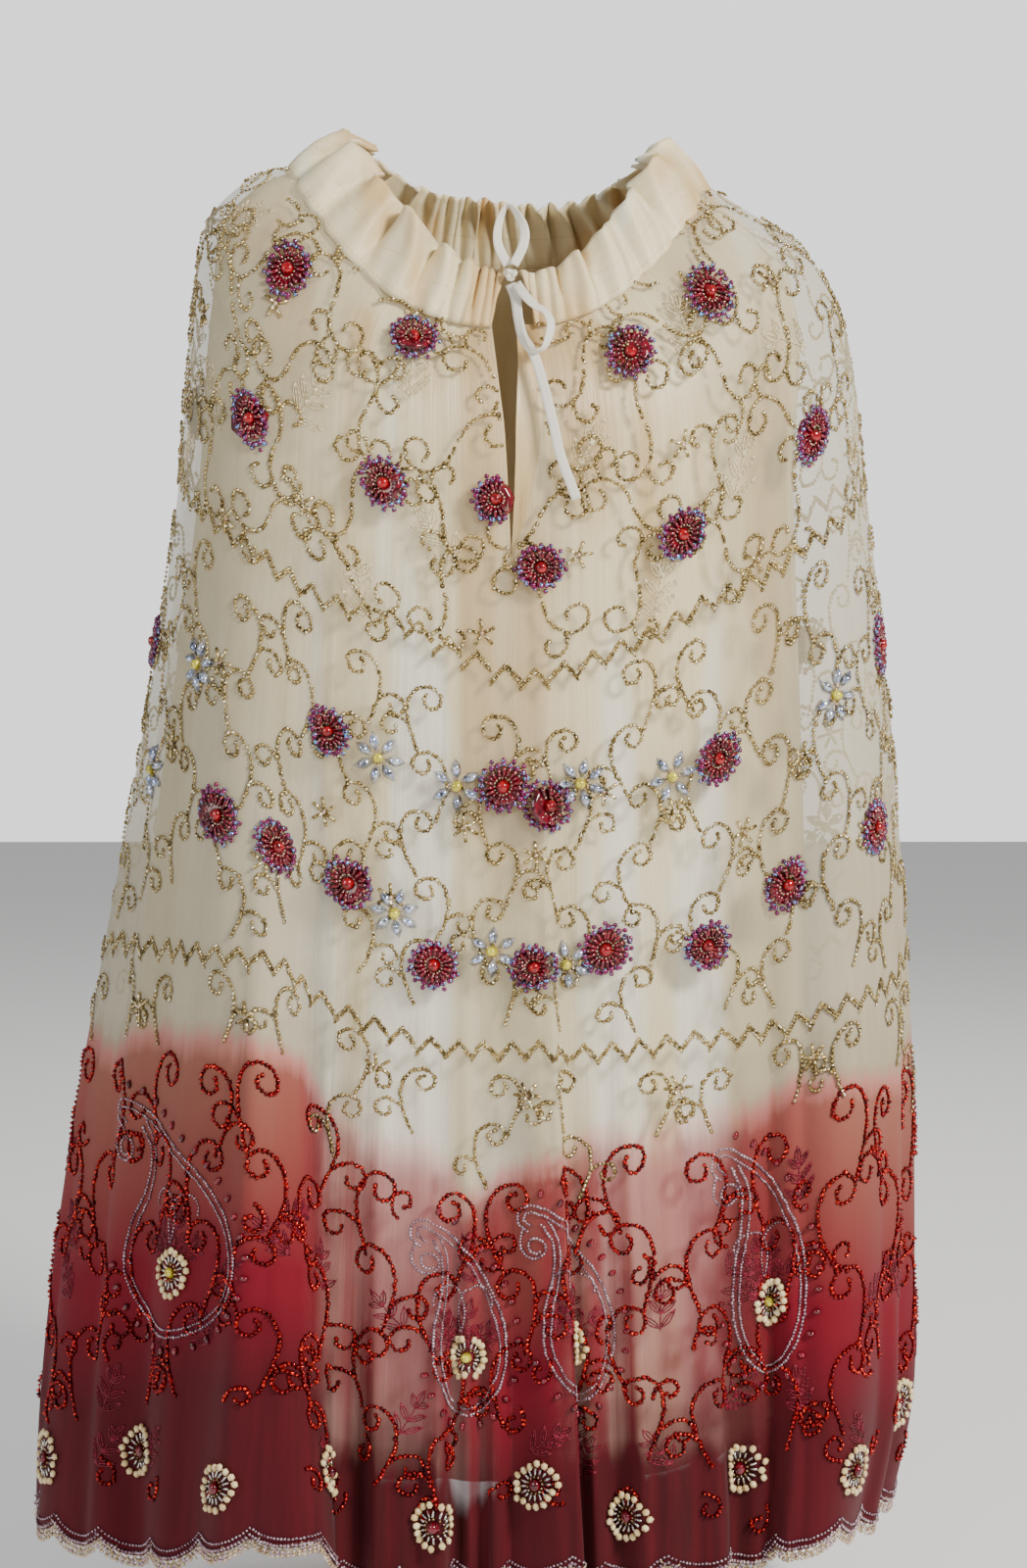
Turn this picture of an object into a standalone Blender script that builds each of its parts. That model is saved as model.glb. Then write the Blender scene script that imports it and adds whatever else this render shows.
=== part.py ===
"""Lehenga skirt: a beaded net overskirt and a satin lining on a drawstring waistband.

The skirt hangs hollow, as if worn. Its drawn waist is the origin, +Z is up, the
front faces -Y and +X is to the right of a viewer who stands in front. Units: metres.

Every cloth piece is a thin wall on one of three forms: the net, the lining and the
waistband. A form is worked out from a table of sections and a table of folds. A place
on it is a bearing in degrees (0 front, 90 right, 180 back, -90 left) and a share of
the cloth's length, from 0 at its upper edge to 1 at its lower edge.
"""

import math

import bmesh
import bpy
import numpy as np

# ---------------------------------------------------------------- driving sizes
NET_WALL = 0.0012
LINING_WALL = 0.0012
BAND_WALL = 0.0016
TAPE_WALL = 0.0014
TAPE_WIDTH = 0.0075
SEAM_GAP = 0.0003
LINING_SHARE = 0.92  # the lining's length as a share of the net's
OUTLINE_POWER = 2.3  # 2 is an ellipse, and more is squarer
HEIGHT_POWER = 2.5  # how late, going round to the side, the cloth climbs to the side's height

# ---------------------------------------------------------------- sections
# Each row is one level of cloth: how far out it stands and how high it is, at the
# left, right, front and back.
SECTION_COLUMNS = "down left left_z right right_z front front_z back back_z".split()
NET_SECTIONS = (
    (0.000, 0.171, 0.040, 0.157, 0.027, 0.094, -0.088, 0.088, -0.030),
    (0.035, 0.203, 0.031, 0.190, 0.006, 0.114, -0.116, 0.106, -0.058),
    (0.070, 0.234, 0.004, 0.228, -0.017, 0.127, -0.149, 0.119, -0.093),
    (0.130, 0.248, -0.060, 0.260, -0.065, 0.137, -0.212, 0.130, -0.160),
    (0.270, 0.263, -0.218, 0.285, -0.205, 0.147, -0.350, 0.142, -0.303),
    (0.440, 0.289, -0.410, 0.308, -0.410, 0.156, -0.520, 0.153, -0.480),
    (0.660, 0.322, -0.665, 0.320, -0.650, 0.166, -0.732, 0.165, -0.705),
    (0.830, 0.343, -0.860, 0.317, -0.850, 0.174, -0.892, 0.173, -0.880),
    (0.930, 0.354, -0.970, 0.313, -0.955, 0.178, -0.981, 0.177, -0.978),
    (1.000, 0.360, -1.045, 0.298, -1.030, 0.180, -1.042, 0.178, -1.040),
)
BAND_SECTIONS = (
    (0.0, 0.116, 0.066, 0.116, 0.054, 0.074, -0.046, 0.068, 0.018),
    (0.5, 0.141, 0.058, 0.136, 0.044, 0.083, -0.067, 0.077, -0.004),
    (1.0, 0.171, 0.0425, 0.157, 0.0295, 0.094, -0.0855, 0.088, -0.0275),
)
# How far inside the net's form the lining hangs, at the same four places.
INSET_COLUMNS = "down left right front back".split()
LINING_INSETS = (
    (0.00, 0.0030, 0.0030, 0.0030, 0.0030),
    (0.035, 0.0080, 0.0090, 0.0050, 0.0060),
    (0.07, 0.0110, 0.0180, 0.0070, 0.0090),
    (0.27, 0.0180, 0.0600, 0.0090, 0.0180),
    (0.44, 0.0220, 0.0800, 0.0110, 0.0240),
    (0.66, 0.0280, 0.0900, 0.0140, 0.0300),
    (1.00, 0.0340, 0.0950, 0.0180, 0.0340),
)

# ---------------------------------------------------------------- folds
# Each row is one ridge of cloth: its bearing at the top and at the hem, the share of
# the length at which it starts, how fast it grows, its height and half width (degrees)
# at the hem, how far its crest leans, in heights, towards larger bearings, and how far
# it draws the hem up.
FOLD_COLUMNS = "top hem start growth height half_width lean lift".split()
NET_FOLDS = (
    (-92, -83, 0.20, 1.2, 0.026, 15, -0.10, 0.000),
    (-66, -51, 0.03, 0.5, 0.062, 18, 0.85, 0.045),
    (-31, -24, 0.30, 1.6, 0.020, 13, 0.10, 0.000),
    (4, 10, 0.16, 1.2, 0.027, 10, 0.45, 0.012),
    (31, 36, 0.45, 1.5, 0.022, 13, 0.00, 0.006),
    (72, 64, 0.04, 0.8, 0.042, 13, -0.70, 0.018),
    (90, 87, 0.30, 1.4, 0.020, 12, 0.00, 0.000),
    (103, 108, 0.12, 1.2, 0.030, 11, 0.20, 0.010),
    (127, 129, 0.20, 1.3, 0.026, 11, -0.20, 0.006),
    (150, 149, 0.08, 1.0, 0.032, 12, 0.30, 0.012),
    (172, 171, 0.30, 1.4, 0.024, 11, 0.00, 0.000),
    (194, 193, 0.12, 1.1, 0.031, 12, -0.30, 0.010),
    (214, 215, 0.26, 1.4, 0.026, 11, 0.20, 0.004),
    (236, 235, 0.10, 1.0, 0.033, 12, -0.20, 0.014),
    (254, 255, 0.25, 1.3, 0.024, 10, 0.00, 0.000),
)
LINING_FOLDS = (
    (-84, -80, 0.10, 1.0, 0.020, 16, 0.00, 0.000),
    (-40, -27, 0.20, 1.2, 0.008, 11, 0.00, 0.000),
    (-12, -8, 0.35, 1.4, 0.009, 9, 0.00, 0.000),
    (10, 14, 0.20, 1.2, 0.008, 10, 0.00, 0.000),
    (36, 34, 0.30, 1.3, 0.010, 12, 0.00, 0.000),
    (66, 62, 0.10, 1.0, 0.026, 12, 0.00, 0.000),
    (104, 106, 0.15, 1.2, 0.020, 14, 0.00, 0.000),
    (138, 140, 0.15, 1.2, 0.018, 15, 0.00, 0.000),
    (176, 174, 0.20, 1.2, 0.018, 15, 0.00, 0.000),
    (212, 210, 0.15, 1.2, 0.018, 15, 0.00, 0.000),
    (246, 244, 0.15, 1.2, 0.022, 14, 0.00, 0.000),
)

# ---------------------------------------------------------------- the front slit
# Where the cut edges stand at each level, in metres right of the centre line.
SLIT_FOOT = 0.0028
SLIT_COLUMNS = "down net_left net_right lining_left lining_right".split()
SLIT_EDGES = (
    (0.000, -0.0120, 0.0215, -0.0120, 0.0070),
    (0.040, -0.0080, 0.0270, -0.0080, 0.0080),
    (0.095, -0.0020, 0.0265, -0.0020, 0.0062),
    (0.120, -0.0005, 0.0220, -0.0005, 0.0060),
    (0.150, 0.0010, 0.0150, 0.0010, 0.0050),
    (0.175, 0.0020, 0.0070, 0.0020, 0.0040),
    (0.200, SLIT_FOOT, SLIT_FOOT + SEAM_GAP, SLIT_FOOT, SLIT_FOOT + SEAM_GAP),
    (1.000, SLIT_FOOT, SLIT_FOOT + SEAM_GAP, SLIT_FOOT, SLIT_FOOT + SEAM_GAP),
)
BAND_END_TOP = (-0.0010, 0.0095)  # the band's two ends at its upper edge
BAND_END_SEAM = (-0.0125, 0.0213)  # and at its seam

# ---------------------------------------------------------------- gathers of the band
RUFFLES = 30  # gathers round the whole band
RUFFLE_TOP = 0.0042  # how far a gather stands out at the drawn upper edge
RUFFLE_SEAM = 0.0012

# ---------------------------------------------------------------- how finely cloth is faceted
NET_COLUMNS = 28  # across each of the four panels
NET_LEVELS = (0.0, 0.03, 0.06, 0.10, 0.16, 0.25, 0.37, 0.50, 0.63, 0.76, 0.88, 1.0)
LINING_COLUMNS = 16
LINING_LEVELS = (0.0, 0.0326, 0.0652, 0.1087, 0.174, 0.272, 0.40, 0.54, 0.69, 0.84, 1.0)
BAND_COLUMNS = 96
BAND_LEVELS = (0.0, 0.5, 1.0)


# ================================================================ the forms
def eased(knots, values, at):
    """Values at the knots, joined by smooth curves and read at the given places."""
    slopes = np.gradient(values, knots)
    i = np.clip(np.searchsorted(knots, at) - 1, 0, len(knots) - 2)
    span = knots[i + 1] - knots[i]
    t = (at - knots[i]) / span
    rise = values[i + 1] - values[i]
    bend = (slopes[i] * span - rise) * (1 - t) - (slopes[i + 1] * span - rise) * t
    return values[i] + rise * t + t * (1 - t) * bend


def column(table, columns, name, at):
    rows = np.array(table, float)
    return eased(rows[:, 0], rows[:, columns.index(name)], np.asarray(at, float))


def smooth_step(t):
    t = np.clip(t, 0, 1)
    return t * t * (3 - 2 * t)


def quarter(bearing, left, right, front, back):
    """Which side value and which middle value hold at a bearing."""
    turn = np.radians(bearing)
    side = np.where(np.sin(turn) > 0, right, left)
    middle = np.where(np.cos(turn) < 0, back, front)
    return side, middle


def sideness(bearing, across, deep):
    """How far round to the side a bearing is, and how far out its oval stands there."""
    turn = np.radians(bearing)
    wide = (np.abs(np.sin(turn)) / across) ** OUTLINE_POWER
    long = (np.abs(np.cos(turn)) / deep) ** OUTLINE_POWER
    reach = (wide + long) ** (-1 / OUTLINE_POWER)
    return reach, (reach * np.abs(np.sin(turn)) / across) ** HEIGHT_POWER


def outline(sections, bearing, down, insets=None):
    """Points of a form with no folds: a squarish oval at each level.

    Given insets, the points are moved in, square to the form, by their amounts.
    """
    bearing, down = np.broadcast_arrays(
        np.asarray(bearing, float), np.asarray(down, float)
    )
    places = "left", "right", "front", "back"
    sizes = [column(sections, SECTION_COLUMNS, name, down) for name in places]
    heights = [column(sections, SECTION_COLUMNS, name + "_z", down) for name in places]
    reach, side = sideness(bearing, *quarter(bearing, *sizes))
    side_z, middle_z = quarter(bearing, *heights)
    turn = np.radians(bearing)
    z = side_z * side + middle_z * (1 - side)
    points = np.stack([reach * np.sin(turn), -reach * np.cos(turn), z], axis=-1)
    if insets is None:
        return points
    amounts = [column(insets, INSET_COLUMNS, name, down) for name in places]
    side_in, middle_in = quarter(bearing, *amounts)
    inset = side_in * side + middle_in * (1 - side)
    square = normals(lambda b, d: outline(sections, b, d), bearing, down)
    return points - square * inset[..., None]


def outward(form, bearing, down):
    """The level direction that points out of a form, and the one that goes round it."""
    step = 0.2
    along = form(bearing + step, down) - form(bearing - step, down)
    along[..., 2] = 0
    along /= np.linalg.norm(along, axis=-1, keepdims=True)
    out = np.stack([along[..., 1], -along[..., 0], np.zeros(along.shape[:-1])], -1)
    return out, along


def folded(base, folds, bearing, down):
    """A form with its ridges raised on it."""
    bearing, down = np.broadcast_arrays(
        np.asarray(bearing, float), np.asarray(down, float)
    )
    out, along = outward(base, bearing, down)
    raised, leant, lifted = (np.zeros(bearing.shape) for _ in range(3))
    for row in folds:
        fold = dict(zip(FOLD_COLUMNS, row))
        grown = smooth_step((down - fold["start"]) / (1 - fold["start"]))
        height = fold["height"] * grown ** fold["growth"]
        centre = fold["top"] + (fold["hem"] - fold["top"]) * down**1.5
        away = (bearing - centre + 180) % 360 - 180
        crest = np.cos(np.clip(away / fold["half_width"], -1, 1) * math.pi / 2) ** 2
        raised += height * crest
        leant += height * crest * fold["lean"]
        lifted += fold["lift"] * crest * down**2
    moved = out * raised[..., None] + along * leant[..., None]
    moved[..., 2] += lifted
    return base(bearing, down) + moved


def net_form(bearing, down):
    return folded(lambda b, d: outline(NET_SECTIONS, b, d), NET_FOLDS, bearing, down)


def lining_form(bearing, down):
    """The lining, whose down runs from 0 to 1 over its own, shorter length."""

    def base(b, d):
        return outline(NET_SECTIONS, b, d * LINING_SHARE, LINING_INSETS)

    return folded(base, LINING_FOLDS, bearing, down)


def band_form(bearing, down):
    """The waistband, whose gathers are deepest at its drawn upper edge."""
    bearing, down = np.broadcast_arrays(
        np.asarray(bearing, float), np.asarray(down, float)
    )

    def base(b, d):
        return outline(BAND_SECTIONS, b, d)

    out, _ = outward(base, bearing, down)
    turn = np.radians(bearing)
    uneven = 0.65 + 0.35 * np.sin(2 * turn + 4.0)
    wave = np.cos(RUFFLES * turn + 1.1 * np.sin(3 * turn)) * uneven
    depth = RUFFLE_TOP + (RUFFLE_SEAM - RUFFLE_TOP) * down
    return base(bearing, down) + out * (wave * depth)[..., None]


def normals(form, bearing, down):
    """Unit directions square to a form's surface, pointing out of it."""
    turn, drop = 0.3, 0.004
    bearing, down = np.broadcast_arrays(
        np.asarray(bearing, float), np.asarray(down, float)
    )
    upper, lower = np.clip(down - drop, 0, 1), np.clip(down + drop, 0, 1)
    round_it = form(bearing + turn, down) - form(bearing - turn, down)
    down_it = form(bearing, lower) - form(bearing, upper)
    square = np.cross(down_it, round_it)
    return square / np.linalg.norm(square, axis=-1, keepdims=True)


# ================================================================ cutting the pieces
def bearing_at(form, metres_right, down):
    """The bearing at which a form's front stands that far right of the centre line."""
    depth = -form(np.zeros_like(down), down)[..., 1]
    return np.degrees(np.arctan2(metres_right, depth))


def even_bearings(form, start, end, count):
    """Bearings that cut a form's lower edge into equal lengths of cloth."""
    fine = np.linspace(start, end, 400)
    edge = form(fine, np.ones_like(fine))
    steps = np.linalg.norm(np.diff(edge, axis=0), axis=1)
    length = np.concatenate([[0], np.cumsum(steps)])
    return np.interp(np.linspace(0, length[-1], count + 1), length, fine)


def seam_bearing(form, bearing, down, side):
    """A seam's bearing, moved half a seam gap to one side (-1 or 1) at each level."""
    radius = np.linalg.norm(form(np.full_like(down, bearing), down)[..., :2], axis=-1)
    return bearing + side * np.degrees(SEAM_GAP / 2 / radius)


def panel_grid(form, start, end, columns, levels, slit=None):
    """Bearings and levels of one panel's points, its cut edges following the slit."""
    down = np.array(levels)
    even = even_bearings(form, start, end, columns)
    share = (even - start) / (end - start)
    first = seam_bearing(form, start, down, 1)
    last = seam_bearing(form, end, down, -1)
    if slit:
        rows = np.array(SLIT_EDGES)
        edge = np.interp(down, rows[:, 0], rows[:, SLIT_COLUMNS.index(slit)])
        edge_bearing = bearing_at(form, edge, down)
        first, last = (
            (first, edge_bearing) if slit.endswith("left") else (edge_bearing, last)
        )
    return first[:, None] + (last - first)[:, None] * share[None, :], down[:, None]


def cloth_wall(name, form, bearing, down, wall, material):
    """A closed wall of cloth: the outer face lies on the form, the inner face inside."""
    outer = form(bearing, down)
    inner = outer - normals(form, bearing, down) * wall
    rows, columns = outer.shape[:2]
    mesh = bmesh.new()
    outer_points = [[mesh.verts.new(p) for p in row] for row in outer]
    inner_points = [[mesh.verts.new(p) for p in row] for row in inner]
    # Both faces are cut along the same diagonals, so the wall keeps its thickness.
    for r in range(rows - 1):
        for c in range(columns - 1):
            for grid in (outer_points, inner_points):
                top_left, top_right = grid[r][c], grid[r][c + 1]
                low_left, low_right = grid[r + 1][c], grid[r + 1][c + 1]
                for corners in (
                    (top_left, low_left, low_right),
                    (top_left, low_right, top_right),
                ):
                    mesh.faces.new(corners if grid is outer_points else corners[::-1])
    rim = [edge for edge in mesh.edges if edge.is_boundary]
    bmesh.ops.bridge_loops(mesh, edges=rim)
    bmesh.ops.recalc_face_normals(mesh, faces=mesh.faces)
    return finish(name, mesh, material)


def finish(name, mesh, material):
    data = bpy.data.meshes.new(name)
    mesh.to_mesh(data)
    mesh.free()
    data.materials.append(material)
    data.shade_smooth()
    piece = bpy.data.objects.new(name, data)
    bpy.context.scene.collection.objects.link(piece)
    return piece


def finish_material(name, colour, roughness):
    material = bpy.data.materials.new(name)
    material.use_nodes = True
    shader = material.node_tree.nodes["Principled BSDF"]
    shader.inputs["Base Color"].default_value = (*colour, 1)
    shader.inputs["Roughness"].default_value = roughness
    shader.inputs["Metallic"].default_value = 0
    material.diffuse_color = (*colour, 1)
    return material


# ================================================================ the drawstring
# Places on the tape, each row one point: metres right of the centre line, height, how
# far in front of the drawn upper edge of the band it stands, and the degrees that the
# tape is twisted out of facing the front.
TAPE_COLUMNS = "right height forward twist".split()
KNOT = (0.0025, -0.0510, 0.0108)
KNOT_SIZE = (0.0095, 0.0085, 0.0110)
RAISED_LOOP = (
    (0.0005, -0.0440, 0.0085, 0),
    (-0.0070, -0.0276, 0.0075, 20),
    (-0.0062, -0.0114, 0.0050, 40),
    (0.0005, 0.0020, 0.0030, 70),
    (0.0090, -0.0066, 0.0040, 40),
    (0.0134, -0.0183, 0.0065, 10),
    (0.0118, -0.0300, 0.0090, 0),
    (0.0050, -0.0440, 0.0115, 0),
)
HANGING_LOOP = (
    (0.0030, -0.0585, 0.0125, 0),
    (0.0068, -0.0690, 0.0215, 10),
    (0.0084, -0.0856, 0.0320, 20),
    (0.0107, -0.0991, 0.0405, 35),
    (0.0165, -0.1100, 0.0490, 60),
    (0.0255, -0.1110, 0.0510, 70),
    (0.0310, -0.1020, 0.0470, 40),
    (0.0330, -0.0900, 0.0410, 30),
    (0.0290, -0.0810, 0.0355, 45),
    (0.0215, -0.0765, 0.0325, 35),
    (0.0140, -0.0690, 0.0280, 15),
    (0.0070, -0.0585, 0.0195, 0),
)
TAIL = (
    (0.0020, -0.0585, 0.0095, 0),
    (0.0060, -0.0690, 0.0170, 0),
    (0.0084, -0.0856, 0.0275, 0),
    (0.0120, -0.1000, 0.0365, 0),
    (0.0200, -0.1140, 0.0465, 0),
    (0.0270, -0.1360, 0.0545, 0),
    (0.0340, -0.1640, 0.0615, 0),
    (0.0400, -0.1900, 0.0660, 0),
    (0.0521, -0.2234, 0.0710, 0),
)


def tape_line(rows, steps):
    """A smooth line through the tape's places, with that many steps between two,
    and the tape's twist at each of its points.
    """
    places = np.array(rows, float)
    top_front = -BAND_SECTIONS[0][SECTION_COLUMNS.index("front")]
    knots = np.arange(len(places), dtype=float)
    at = np.linspace(0, len(places) - 1, (len(places) - 1) * steps + 1)
    right, height, forward, twist = (eased(knots, row, at) for row in places.T)
    return np.stack([right, top_front - forward, height], axis=-1), np.radians(twist)


def tape(name, rows, steps, material):
    """A flat strip of tape along a line."""
    line, twist = tape_line(rows, steps)
    along = np.gradient(line, axis=0)
    along /= np.linalg.norm(along, axis=1, keepdims=True)
    facing = np.array([0.0, -1.0, 0.0])
    across = np.cross(along, facing)
    across /= np.linalg.norm(across, axis=1, keepdims=True)
    square = np.cross(across, along)
    across = across * np.cos(twist)[:, None] + square * np.sin(twist)[:, None]
    square = np.cross(across, along)
    half_width, half_wall = TAPE_WIDTH / 2, TAPE_WALL / 2
    corners = (
        across * half_width + square * half_wall,
        -across * half_width + square * half_wall,
        -across * half_width - square * half_wall,
        across * half_width - square * half_wall,
    )
    mesh = bmesh.new()
    rings = [
        [mesh.verts.new(point + corner[i]) for corner in corners]
        for i, point in enumerate(line)
    ]
    for here, there in zip(rings, rings[1:]):
        for k in range(4):
            n = (k + 1) % 4
            mesh.faces.new((here[k], here[n], there[n], there[k]))
    mesh.faces.new(rings[0][::-1])
    mesh.faces.new(rings[-1])
    bmesh.ops.recalc_face_normals(mesh, faces=mesh.faces)
    return finish(name, mesh, material)


def knot(name, material):
    """The bow's knot: a small block with rounded edges."""
    right, height, forward = KNOT
    top_front = -BAND_SECTIONS[0][SECTION_COLUMNS.index("front")]
    mesh = bmesh.new()
    bmesh.ops.create_cube(mesh, size=1)
    bmesh.ops.scale(mesh, vec=KNOT_SIZE, verts=mesh.verts)
    bmesh.ops.bevel(
        mesh,
        geom=mesh.edges[:],
        offset=min(KNOT_SIZE) * 0.3,
        segments=2,
        profile=0.5,
        affect="EDGES",
    )
    place = (right, top_front - forward, height)
    bmesh.ops.translate(mesh, vec=place, verts=mesh.verts)
    return finish(name, mesh, material)


# ================================================================ the whole skirt
# Each row is one panel: its name, the bearings of its two edges, and the slit's edge
# that it carries, if it has one.
PANELS = (
    ("front_left", -90.0, 0.0, "left"),
    ("front_right", 0.0, 90.0, "right"),
    ("back_right", 90.0, 180.0, None),
    ("back_left", 180.0, 270.0, None),
)


def skirt_panels(layer, form, columns, levels, wall, material):
    for place, start, end, edge in PANELS:
        slit = f"{layer}_{edge}" if edge else None
        bearing, down = panel_grid(form, start, end, columns, levels, slit)
        cloth_wall(f"{layer}_{place}", form, bearing, down, wall, material)


def waistband(material):
    down = np.array(BAND_LEVELS)
    edges = [
        bearing_at(band_form, np.interp(down, (0, 1), (top, seam)), down)
        for top, seam in zip(BAND_END_TOP, BAND_END_SEAM)
    ]
    left_end, right_end = edges[0] + 360, edges[1]
    share = np.linspace(0, 1, BAND_COLUMNS + 1)
    bearing = right_end[:, None] + (left_end - right_end)[:, None] * share
    cloth_wall("waistband", band_form, bearing, down[:, None], BAND_WALL, material)


def main():
    for old in list(bpy.data.objects):
        bpy.data.objects.remove(old)
    net = finish_material("ivory_net", (0.80, 0.74, 0.60), 0.55)
    satin = finish_material("ivory_satin", (0.84, 0.77, 0.62), 0.35)
    cotton = finish_material("cotton_tape", (0.83, 0.78, 0.68), 0.80)
    skirt_panels("net", net_form, NET_COLUMNS, NET_LEVELS, NET_WALL, net)
    skirt_panels(
        "lining", lining_form, LINING_COLUMNS, LINING_LEVELS, LINING_WALL, satin
    )
    waistband(satin)
    knot("drawstring_knot", cotton)
    tape("drawstring_raised_loop", RAISED_LOOP, 2, cotton)
    tape("drawstring_hanging_loop", HANGING_LOOP, 2, cotton)
    tape("drawstring_tail", TAIL, 2, cotton)


main()
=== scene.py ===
# %% [markdown]
# # A lehenga skirt of beaded net over satin
#
# A lehenga is a long flared skirt. This one has two layers that share one waist: an
# overskirt of fine ivory net, covered in beads and dip-dyed crimson at the foot, and a
# plain satin lining that stops short of the net's scalloped hem. A satin casing gathers
# both on a drawstring tape, which ties in a bow over a slit at the front.
#
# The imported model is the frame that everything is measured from. Its cloth solids are
# plain walls, so each is replaced here by a finer sheet on the same form.

import math

import bmesh
import bpy
import numpy as np
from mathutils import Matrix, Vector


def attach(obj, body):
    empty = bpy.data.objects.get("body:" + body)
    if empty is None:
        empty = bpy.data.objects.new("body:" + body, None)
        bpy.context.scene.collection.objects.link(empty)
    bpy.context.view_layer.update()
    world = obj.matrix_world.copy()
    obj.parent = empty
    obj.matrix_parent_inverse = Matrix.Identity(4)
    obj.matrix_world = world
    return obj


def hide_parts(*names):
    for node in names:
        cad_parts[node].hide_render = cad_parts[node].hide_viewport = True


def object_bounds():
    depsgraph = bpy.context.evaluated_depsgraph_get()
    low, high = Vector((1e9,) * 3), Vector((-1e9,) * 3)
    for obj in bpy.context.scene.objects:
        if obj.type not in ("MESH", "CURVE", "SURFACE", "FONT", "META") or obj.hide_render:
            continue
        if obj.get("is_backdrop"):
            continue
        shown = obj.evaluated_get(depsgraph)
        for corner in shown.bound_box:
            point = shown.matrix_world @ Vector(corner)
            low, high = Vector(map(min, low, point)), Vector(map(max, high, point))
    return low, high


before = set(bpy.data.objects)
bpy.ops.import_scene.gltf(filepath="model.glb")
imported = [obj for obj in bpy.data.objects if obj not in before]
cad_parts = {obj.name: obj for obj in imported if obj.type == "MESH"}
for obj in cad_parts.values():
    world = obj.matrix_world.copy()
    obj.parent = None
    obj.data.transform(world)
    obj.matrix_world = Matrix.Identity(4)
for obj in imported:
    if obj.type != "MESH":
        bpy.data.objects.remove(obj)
cad_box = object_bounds()
print("nodes:", len(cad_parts), "box:", cad_box)

# %% [markdown]
# ## The camera and a plain studio
#
# The skirt is seen from the front, from about the height of its upper third, so that
# the far side of the waistband shows over the near side. Cloth reads best in a broad
# soft light with one gentle side to it, and satin needs a bright area to mirror.

# %% Camera
EYE = (0.0, -2.3, -0.25)
LOOK_AT = (0.005, 0.0, -0.451)
FRAME_HIGH = 24  # millimetres of film
LENS = 43.665  # millimetres

camera_data = bpy.data.cameras.new("camera")
camera_data.sensor_fit = "VERTICAL"
camera_data.sensor_height = FRAME_HIGH
camera_data.lens = LENS
camera = bpy.data.objects.new("camera", camera_data)
bpy.context.scene.collection.objects.link(camera)
camera.location = EYE
gaze = np.array(LOOK_AT) - np.array(EYE)
camera.rotation_euler = (
    math.atan2(gaze[2], math.hypot(gaze[0], gaze[1])) + math.pi / 2,
    0,
    math.atan2(-gaze[0], gaze[1]),
)
bpy.context.scene.camera = camera
tilt = math.atan2(-gaze[2], math.hypot(gaze[0], gaze[1]))
print("the camera looks down by", round(math.degrees(tilt), 1), "degrees")

# %% Floor, backdrop and lights
FLOOR_DROP = 0.10  # the hem hangs clear of the floor
FLOOR_WIDE = 12
PAPER_GLOW = 0.12  # lifts the paper a little above its own shade
LIGHT_ON_SKIRT = 0.32
WALL_PALENESS = 1.5


def plain_paint(name, colour, roughness):
    paint = bpy.data.materials.new(name)
    paint.use_nodes = True
    shader = paint.node_tree.nodes["Principled BSDF"]
    shader.inputs["Base Color"].default_value = (*colour, 1)
    shader.inputs["Roughness"].default_value = roughness
    shader.inputs["Emission Color"].default_value = (1, 1, 1, 1)
    shader.inputs["Emission Strength"].default_value = PAPER_GLOW
    return paint


def studio_sheet():
    """A wide flat sheet of paper for a floor."""
    floor_z = cad_box[0][2] - FLOOR_DROP
    bpy.ops.object.select_all(action="DESELECT")
    bpy.ops.mesh.primitive_plane_add(size=FLOOR_WIDE, location=(0, 0, floor_z))
    sheet = bpy.context.object
    sheet.name = "studio_sheet"
    sheet.data.materials.append(plain_paint("studio_paper", (0.86, 0.86, 0.86), 0.9))
    sheet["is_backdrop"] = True
    return sheet


def soft_light(name, place, aim, size, watts, colour):
    lamp = bpy.data.lights.new(name, "AREA")
    lamp.size = size
    lamp.energy = watts
    lamp.color = colour
    light = bpy.data.objects.new(name, lamp)
    bpy.context.scene.collection.objects.link(light)
    light.location = place
    ray = np.array(aim) - np.array(place)
    light.rotation_euler = (
        math.atan2(math.hypot(ray[0], ray[1]), -ray[2]),
        0,
        math.atan2(-ray[0], ray[1]),
    )
    return light


studio_sheet()
soft_light("key", (2.0, -1.9, 1.25), (0, 0, -0.45), 0.7, 150, (1, 0.96, 0.89))
soft_light("fill", (-2.4, -1.9, 0.5), (0, 0, -0.55), 1.6, 36, (0.93, 0.96, 1))
soft_light("back", (0.6, 2.2, 1.4), (0, 0, -0.4), 1.6, 30, (1, 0.98, 0.95))

world = bpy.data.worlds.new("studio")
bpy.context.scene.world = world
world.use_nodes = True
surround = world.node_tree.nodes["Background"]
surround.inputs["Color"].default_value = (1, 1, 1, 1)
seen = world.node_tree.nodes.new("ShaderNodeLightPath").outputs["Is Camera Ray"]
dimmed = world.node_tree.nodes.new("ShaderNodeMapRange")
dimmed.inputs["To Min"].default_value = LIGHT_ON_SKIRT
dimmed.inputs["To Max"].default_value = WALL_PALENESS
world.node_tree.links.new(seen, dimmed.inputs["Value"])
world.node_tree.links.new(dimmed.outputs["Result"], surround.inputs["Strength"])
print("floor at", round(cad_box[0][2] - FLOOR_DROP, 3))

# %% [markdown]
# ## The form the cloth hangs in
#
# The two layers and the waistband each hang on a form: a squarish oval at every level,
# with folds raised on it. A place on the cloth is a bearing in degrees (0 front, 90
# right, 180 back) and a share of its length, 0 at the top and 1 at the hem. The tables
# are the ones that the solids were cut from, so the sheets lie where the solids do.

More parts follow.
